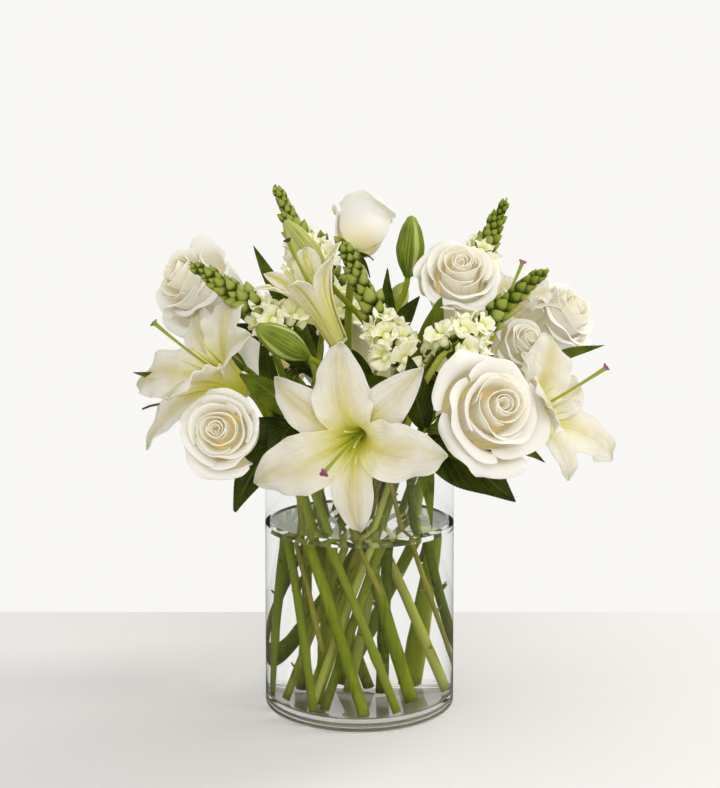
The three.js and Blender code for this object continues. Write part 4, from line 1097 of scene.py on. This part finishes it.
def bud_source():
    """One small bud of unit length, a little hooked, as the spikes repeat it."""
    t = np.linspace(0, 1, BUD_SHAPE["rows"] + 2)[1:-1]
    outline = 0.335 * np.sin(math.pi * t**0.7) ** 0.95
    body = lathe([(0, 0), *zip(outline, t), (0, 1.0)], BUD_SHAPE["sides"])
    points = body.points[0]
    points[:, 1] *= 1 - 0.16 * np.cos(3 * np.arctan2(points[:, 1], points[:, 0]))
    points[:, 0] -= 0.3 * points[:, 2] ** 2 - 0.22 * points[:, 2]
    mesh = bpy.data.meshes.new("bud_shape")
    mesh.from_pydata(points, [], body.faces)
    mesh.attributes.new("mark", "FLOAT_VECTOR", "POINT").data.foreach_set("vector", body.marks[0].ravel())
    mesh.polygons.foreach_set("use_smooth", [True] * len(body.faces))
    return bpy.data.objects.new("bud_shape", mesh)


def spike_tree():
    """Nodes that set buds up a spike, each turned on from the last by the golden angle."""
    inputs = {"Bud": "Object", "Count": "Int", "Length": "Float", "Lowest": "Float", "Highest": "Float"}
    inputs |= {"Finish": "Material", "Seed": "Int"}
    maker, given = opened_tree("buds_up_spike", inputs, "Spike")
    bud, count, length, lowest, highest, finish, seed = given
    index = maker.node("GeometryNodeInputIndex")
    share = index / (count - 1.0)
    angle = index * math.radians(GOLDEN_ANGLE)
    cosine = maker.node("ShaderNodeMath", {"operation": "COSINE"}, {0: angle})
    sine = maker.node("ShaderNodeMath", {"operation": "SINE"}, {0: angle})
    height = length * share**0.9 - 1.0
    reach = 2.0 - share * 1.2
    place = maker.node("ShaderNodeCombineXYZ", {}, {0: cosine * reach, 1: sine * reach, 2: height})
    lean = 0.95 - share * 0.6
    way = maker.node("ShaderNodeCombineXYZ", {}, {0: cosine * lean, 1: sine * lean, 2: 1.0})
    points = maker.node("GeometryNodePoints", {}, {"Count": count, "Position": place})
    turned = maker.node("FunctionNodeAlignEulerToVector", {"axis": "Z"}, {"Vector": way})
    values = {2: 0.72, 3: 1.25, "ID": index, "Seed": seed}
    chance = maker.node("FunctionNodeRandomValue", {"data_type": "FLOAT"}, values, out=1)
    size = (lowest + (highest - lowest) * share) * chance
    shape = maker.node("GeometryNodeObjectInfo", {}, {"Object": bud}, out="Geometry")
    values = {"Points": points, "Instance": shape, "Rotation": turned, "Scale": size}
    return closed_tree(maker, maker.node("GeometryNodeInstanceOnPoints", {}, values), finish)


SPIKE_TREE = spike_tree()
bud_shape = bud_source()

for number, (name, tip, neck, ring, at, florets) in enumerate(SNAPDRAGONS):
    way = (Vector(tip) - Vector(neck)).normalized()
    lower = Vector(neck) - FLORET_PITCH * (florets + 1) * way
    arriving = (way + Vector((0, 0, 0.5))).normalized()
    top = np.linspace(np.array(neck), np.array(tip), 8)
    route = np.concatenate([stem_route(ring, at, lower, arriving), top])
    radii = taper(route, **SPIKE_STEM)
    radii[-len(top) :] = np.linspace(SPIKE_STEM["end"], SPIKE_TIP, len(top))
    piece = Piece()
    piece.place(stem(route, radii, spike_bark, 12, 0.2 + 0.15 * number))
    stubs(piece, route, 2.6, 6, spike_bark, np.random.default_rng(170 + number))
    long = (Vector(tip) - Vector(neck)).length
    plump = 0.8 if name.startswith("top") else 1.0
    inputs = {
        "Bud": bud_shape, "Count": SPIKE_BUDS, "Length": long - 6.0, "Lowest": BUD_SHAPE["low"] * plump,
        "Highest": BUD_SHAPE["high"] * plump, "Finish": small_bud.material, "Seed": number,
    }
    buds = grown(bpy.data.meshes.new("spike"), SPIKE_TREE, inputs)
    draw = np.random.default_rng(180 + number)
    lower_down = 1 - buds.points[0][:, 2] / long
    each = np.repeat(draw.uniform(-0.35, 0.35, SPIKE_BUDS), len(lower_down) // SPIKE_BUDS)
    buds.marks[0][:, 2] = lower_down + each
    piece.place(buds, frame_at(neck, way), coat=1)
    finishes = [spike_bark, small_bud]
    piece.made(f"spike_of_snapdragon_{name}", finishes, f"snapdragon_spike_{name}", "snapdragon_bud")
bpy.data.objects.remove(bud_shape)

# ---------------------------------------------------------------- Snapdragon florets
# Open flowers below the buds: a short tube held in a small green calyx, an upper lip of two ruffled
# lobes and a lower one of three, white with a lime-yellow throat.

FLORET_MOUTH = 2.6

floret_silk = Finish(
    "floret_silk", (0.9, 0.92, 0.78), Subsurface_Weight=0.3, Subsurface_Radius=(1.0, 1.0, 0.6),
    Subsurface_Scale=0.003, Sheen_Weight=0.05, Emission_Strength=0.08,
)
floret_run = floret_silk.mark("Y")
pale_lobe = floret_silk.fade(floret_run, 0.1, 0.55, (0.76, 0.8, 0.2), (0.95, 0.93, 0.7))
green_tube = floret_silk.fade(floret_run, 0.0, 0.3, pale_lobe, (0.6, 0.68, 0.22), 0.8, 0.0)
floret_mottle = floret_silk.noise(260.0)
mottled = floret_silk.blend(floret_mottle * 0.25, green_tube, (0.97, 0.95, 0.78))
floret_silk.dress(mottled, 0.5 + 0.2 * floret_mottle, floret_silk.noise(700.0), 0.25)
# Painted glow: the florets give off a faint light (Emission), lime at the tube and cream on the lobes. It
# stands in for light shining through them.
floret_silk.give("Emission Color", floret_silk.blend(floret_run, (0.8, 0.85, 0.2), (0.9, 0.85, 0.5)))


def frilled_lip(out, radius, turn, span, lobes, draw):
    """One lip that fans out from the mouth of the tube, in two or three round lobes."""
    waves = draw.uniform(0, 2 * math.pi, 4)
    back = draw.uniform(1.2, 2.4)

    def surface(s, t):
        a = math.radians(turn) + s * math.radians(span)
        lobed = 0.8 + 0.2 * np.abs(np.sin(0.5 * math.pi * lobes * (s + 1))) ** 0.7
        r = FLORET_MOUTH + (radius - FLORET_MOUTH) * t**0.9 * lobed
        frill = (2.2 * np.sin(7 * s + waves[0]) + 1.3 * np.sin(14 * s + waves[1] + 2 * t)) * t**1.5
        z = out * (0.56 + 0.3 * np.sin(back * t)) + frill
        a = a + 0.22 * np.sin(8 * s + waves[2]) * t * t
        return np.stack([r * np.cos(a), r * np.sin(a), z], axis=2)

    return sheet(surface, 30, 9, 0.5, kind=0.5)


def floret(out, radius, draw):
    """A flower of the spike, its upper lip towards local +Y, over a swollen lime-yellow palate."""
    flower = Piece()
    tube = [(0, 0), (1.9, 0.2), (3.3, 0.25 * out), (3.6, 0.5 * out), (2.8, 0.62 * out), (0, 0.6 * out)]
    flower.place(lathe(tube, 14))
    flower.place(frilled_lip(out, radius, 90, 78, 2, draw))
    flower.place(frilled_lip(out, 0.92 * radius, -90, 82, 3, draw))
    palate = lathe([(0, -2.6), (1.9, -1.9), (2.7, 0), (1.9, 1.9), (0, 2.6)], 10)
    flower.place(palate, Matrix.Translation((0, -1.6, 0.66 * out)))
    return flower


for number, (name, tip, neck, *_, count) in enumerate(SNAPDRAGONS):
    draw = np.random.default_rng(190 + number)
    spray = Piece()
    for k in range(2 * count):
        share = k / (2 * count - 1)
        a = math.radians(GOLDEN_ANGLE * k + 40)
        axis = Vector((math.cos(a), math.sin(a), 0.75 - 0.7 * share + draw.uniform(-0.1, 0.1)))
        root = Vector((1.5 * math.cos(a), 1.5 * math.sin(a), -FLORET_PITCH * (0.5 * k + 0.75)))
        place = frame_at(root, axis)
        spray.place(floret(15 + 7 * share, 9.5 + 4 * share, draw), place)
        cup = lathe([(0, -1), (2.4, 0), (3.1, 2.5), (3.6, 5), (2.9, 6.2), (0, 4)], 10)
        spray.place(cup, place, coat=1)
    placed = set_at(spray, neck, Vector(tip) - Vector(neck))
    finishes, node = [floret_silk, small_bud], f"snapdragon_florets_{name}"
    placed.made(f"florets_of_snapdragon_{name}", finishes, node, "snapdragon_floret")

# ---------------------------------------------------------------- Greens
# Leafy stems tucked between the flowers: thin woody stems with broad glossy leaves, some finely
# toothed, with a pale midrib and side veins.

# Leaves as for the lilies. A stem that is cut short starts at that share of its way to the mouth.
GREENS = {
    "front_left": {
        "ring": "outer", "at": -24, "cut": 0.5, "end": (-50, -52, 234), "aim": (-0.5, -0.4, 0.75),
        "leaves": [
            (0.96, (-93, -66, 165), 46, 14), (0.94, (-64, -78, 186), 24, 14), (0.99, (-88, -72, 268), 20, 6),
            (0.98, (-46, -62, 266), 18, -4),
        ],
    },
    "front_right": {
        "ring": "outer", "at": 26, "cut": 0.0, "end": (50, -56, 226), "aim": (0.4, -0.3, 0.8),
        "leaves": [
            (0.93, (116, -66, 172), 46, 5), (0.99, (142, -40, 197), 20, 12), (0.94, (53, -84, 156), 13, 14),
            (0.99, (36, -70, 282), 22, -2),
        ],
    },
    "centre": {
        "ring": "middle", "at": 28, "cut": 0.35, "end": (44, -34, 272), "aim": (0.2, -0.1, 1),
        "leaves": [(0.99, (61, -58, 324), 17, 4), (0.97, (26, -66, 240), 20, 4)],
    },
    "left": {
        "ring": "outer", "at": -90, "cut": 0.25, "end": (-108, 4, 232), "aim": (-0.8, -0.2, 0.4),
        "leaves": [
            (0.98, (-163, -54, 240), 18, 6), (0.97, (-176, -20, 264), 14, 6), (0.94, (-148, 24, 226), 24, 8),
            (0.88, (-112, 44, 200), 24, 10), (0.97, (-124, -24, 216), 20, 8),
        ],
    },
    "right": {
        "ring": "outer", "at": 98, "cut": 0.55, "end": (128, 26, 246), "aim": (0.8, 0, 0.5),
        "leaves": [
            (0.99, (192, -10, 284), 14, 8), (0.98, (152, -14, 284), 17, 2), (0.95, (176, 34, 232), 26, 10),
            (0.9, (132, 56, 206), 26, 10), (0.86, (108, 6, 186), 22, 14),
        ],
    },
    "back_left": {
        "ring": "outer", "at": -172, "cut": 0.0, "end": (-36, 68, 258), "aim": (-0.3, 0.5, 0.8),
        "leaves": [
            (0.99, (-58, 96, 312), 24, 4), (0.95, (-104, 56, 296), 22, 8), (0.88, (-88, 100, 196), 30, 14),
            (0.84, (-40, 110, 178), 26, 14), (0.97, (-84, 2, 362), 19, 2),
        ],
    },
    "back_right": {
        "ring": "outer", "at": 172, "cut": 0.4, "end": (34, 72, 262), "aim": (0.3, 0.5, 0.8),
        "leaves": [
            (0.99, (2, 116, 318), 24, 4), (0.95, (104, 66, 312), 20, 8), (0.9, (112, 74, 192), 26, 12),
            (0.84, (34, 114, 176), 26, 14),
        ],
    },
}
GREENS_STEM = {"foot": 2.0, "end": 1.5, "joints": 7, "swell": 0.3}

# Leaves at least this wide are the broad toothed ones.
BROAD = 21

greens_bark = stem_finish("greens_stem_bark", (0.1, 0.09, 0.01), (0.31, 0.29, 0.05))
deep_green = [(0.015, 0.026, 0.0005), (0.05, 0.07, 0.003), (0.12, 0.145, 0.025)]
broad_leaf = leaf_finish("broad_leaf_skin", *deep_green, 9.0, 0.34)
fresh_green = [(0.055, 0.088, 0.003), (0.15, 0.2, 0.01), (0.22, 0.27, 0.06)]
slim_leaf = leaf_finish("slim_leaf_skin", *fresh_green, 12.0)

for number, (name, green) in enumerate(GREENS.items()):
    draw = np.random.default_rng(230 + number)
    route = stem_route(green["ring"], green["at"], green["end"], green["aim"], green["cut"])
    piece = Piece()
    piece.place(stem(route, taper(route, **GREENS_STEM), greens_bark, 10))
    stubs(piece, route, 1.9, 4, greens_bark, draw)
    for share, tip, wide, arch in green["leaves"]:
        teeth, rows, coat = (34, 68, 1) if wide >= BROAD else (0, 36, 2)
        piece.place(leaf(along(route, share)[0], tip, wide, arch, draw, teeth, rows), coat=coat)
    finishes = [greens_bark, broad_leaf, slim_leaf]
    piece.made(f"branch_of_greens_{name}", finishes, f"leafy_stem_{name}", "leaf")

# ---------------------------------------------------------------- Table, light and camera
# A plain pale table top whose far edge shows behind the vase, a pale room, one large soft light from
# the upper right and the camera a little above the rim of the vase.

TABLE = {"back": 221, "front": -1400, "half": 1500, "thick": 30, "gap": 0.02}
CAMERA = {"place": (0.4, -950, 365), "down": 3, "lens": 54.96, "shift": -0.113}


def first_mirror(maker):
    """1 for what is mirrored in the nearest surfaces. There the table is painted near black and the room is
    dimmed, which takes the haze of those reflections away.
    """
    mirrored = maker.node("ShaderNodeLightPath", out="Is Glossy Ray")
    through = maker.node("ShaderNodeLightPath", out="Transmission Depth")
    return mirrored * maker.node("ShaderNodeMath", {"operation": "LESS_THAN"}, {0: through, 1: 1.5})


table_paint = Finish("pale_table_paint", (0.86, 0.845, 0.82), Roughness=0.55)
table_cloud = table_paint.noise(3.0, detail=2.0)
table_white = table_paint.blend(table_cloud, (0.85, 0.833, 0.832), (0.89, 0.873, 0.872))
# Painted dark reflection: the table is painted near black wherever the nearest glass or leaf mirrors it.
mirrored = first_mirror(table_paint) * 0.9
table_paint.give("Base Color", table_paint.blend(mirrored, table_white, (0.0, 0.0, 0.0)))

half, front, back = TABLE["half"], TABLE["front"], TABLE["back"]
outline = [(-half, front), (half, front), (half, back), (-half, back)]
corners = [(x, y, -depth) for depth in (TABLE["thick"], TABLE["gap"]) for x, y in outline]
sides = [(0, 3, 2, 1), (4, 5, 6, 7), (0, 1, 5, 4), (1, 2, 6, 5), (2, 3, 7, 6), (3, 0, 4, 7)]
top = bpy.data.meshes.new("table_top")
top.from_pydata(np.array(corners) * MM, [], sides)
top.materials.append(table_paint.material)
table_top = bpy.data.objects.new("table_top", top)
bpy.context.scene.collection.objects.link(table_top)

room = bpy.data.worlds.new("pale_room")
room.use_nodes = True
bpy.context.scene.world = room
light = Maker(room.node_tree)
soft_ray = light.node("ShaderNodeLightPath", out="Is Diffuse Ray")
walls = room.node_tree.nodes["Background"]
light.feed(walls.inputs["Color"], (1.0, 0.99, 0.965, 1))
light.feed(walls.inputs["Strength"], 0.94 - 0.15 * soft_ray - 0.82 * first_mirror(light))


def soft_light(name, place, aim, size, power, colour):
    """A square studio light turned to a point."""
    lamp = bpy.data.lights.new(name, "AREA")
    lamp.size = size
    lamp.energy = power
    lamp.color = colour
    holder = bpy.data.objects.new(name, lamp)
    holder.location = place
    holder.rotation_euler = (Vector(aim) - Vector(place)).to_track_quat("-Z", "Y").to_euler()
    bpy.context.scene.collection.objects.link(holder)


soft_light("window_right", (1.75, 0.5, 1.95), (0, 0, 0.15), 0.7, 22, (1.0, 0.975, 0.94))
soft_light("fill_front", (0.5, -2.0, 1.3), (0, 0, 0.25), 1.6, 16, (1.0, 0.99, 0.97))

lens = bpy.data.cameras.new("camera")
lens.lens = CAMERA["lens"]
lens.shift_y = CAMERA["shift"]
camera = bpy.data.objects.new("camera", lens)
camera.location = Vector(CAMERA["place"]) * MM
camera.rotation_euler = (math.radians(90 - CAMERA["down"]), 0, 0)
bpy.context.scene.collection.objects.link(camera)
bpy.context.scene.camera = camera
bpy.context.scene.view_settings.view_transform = "Standard"
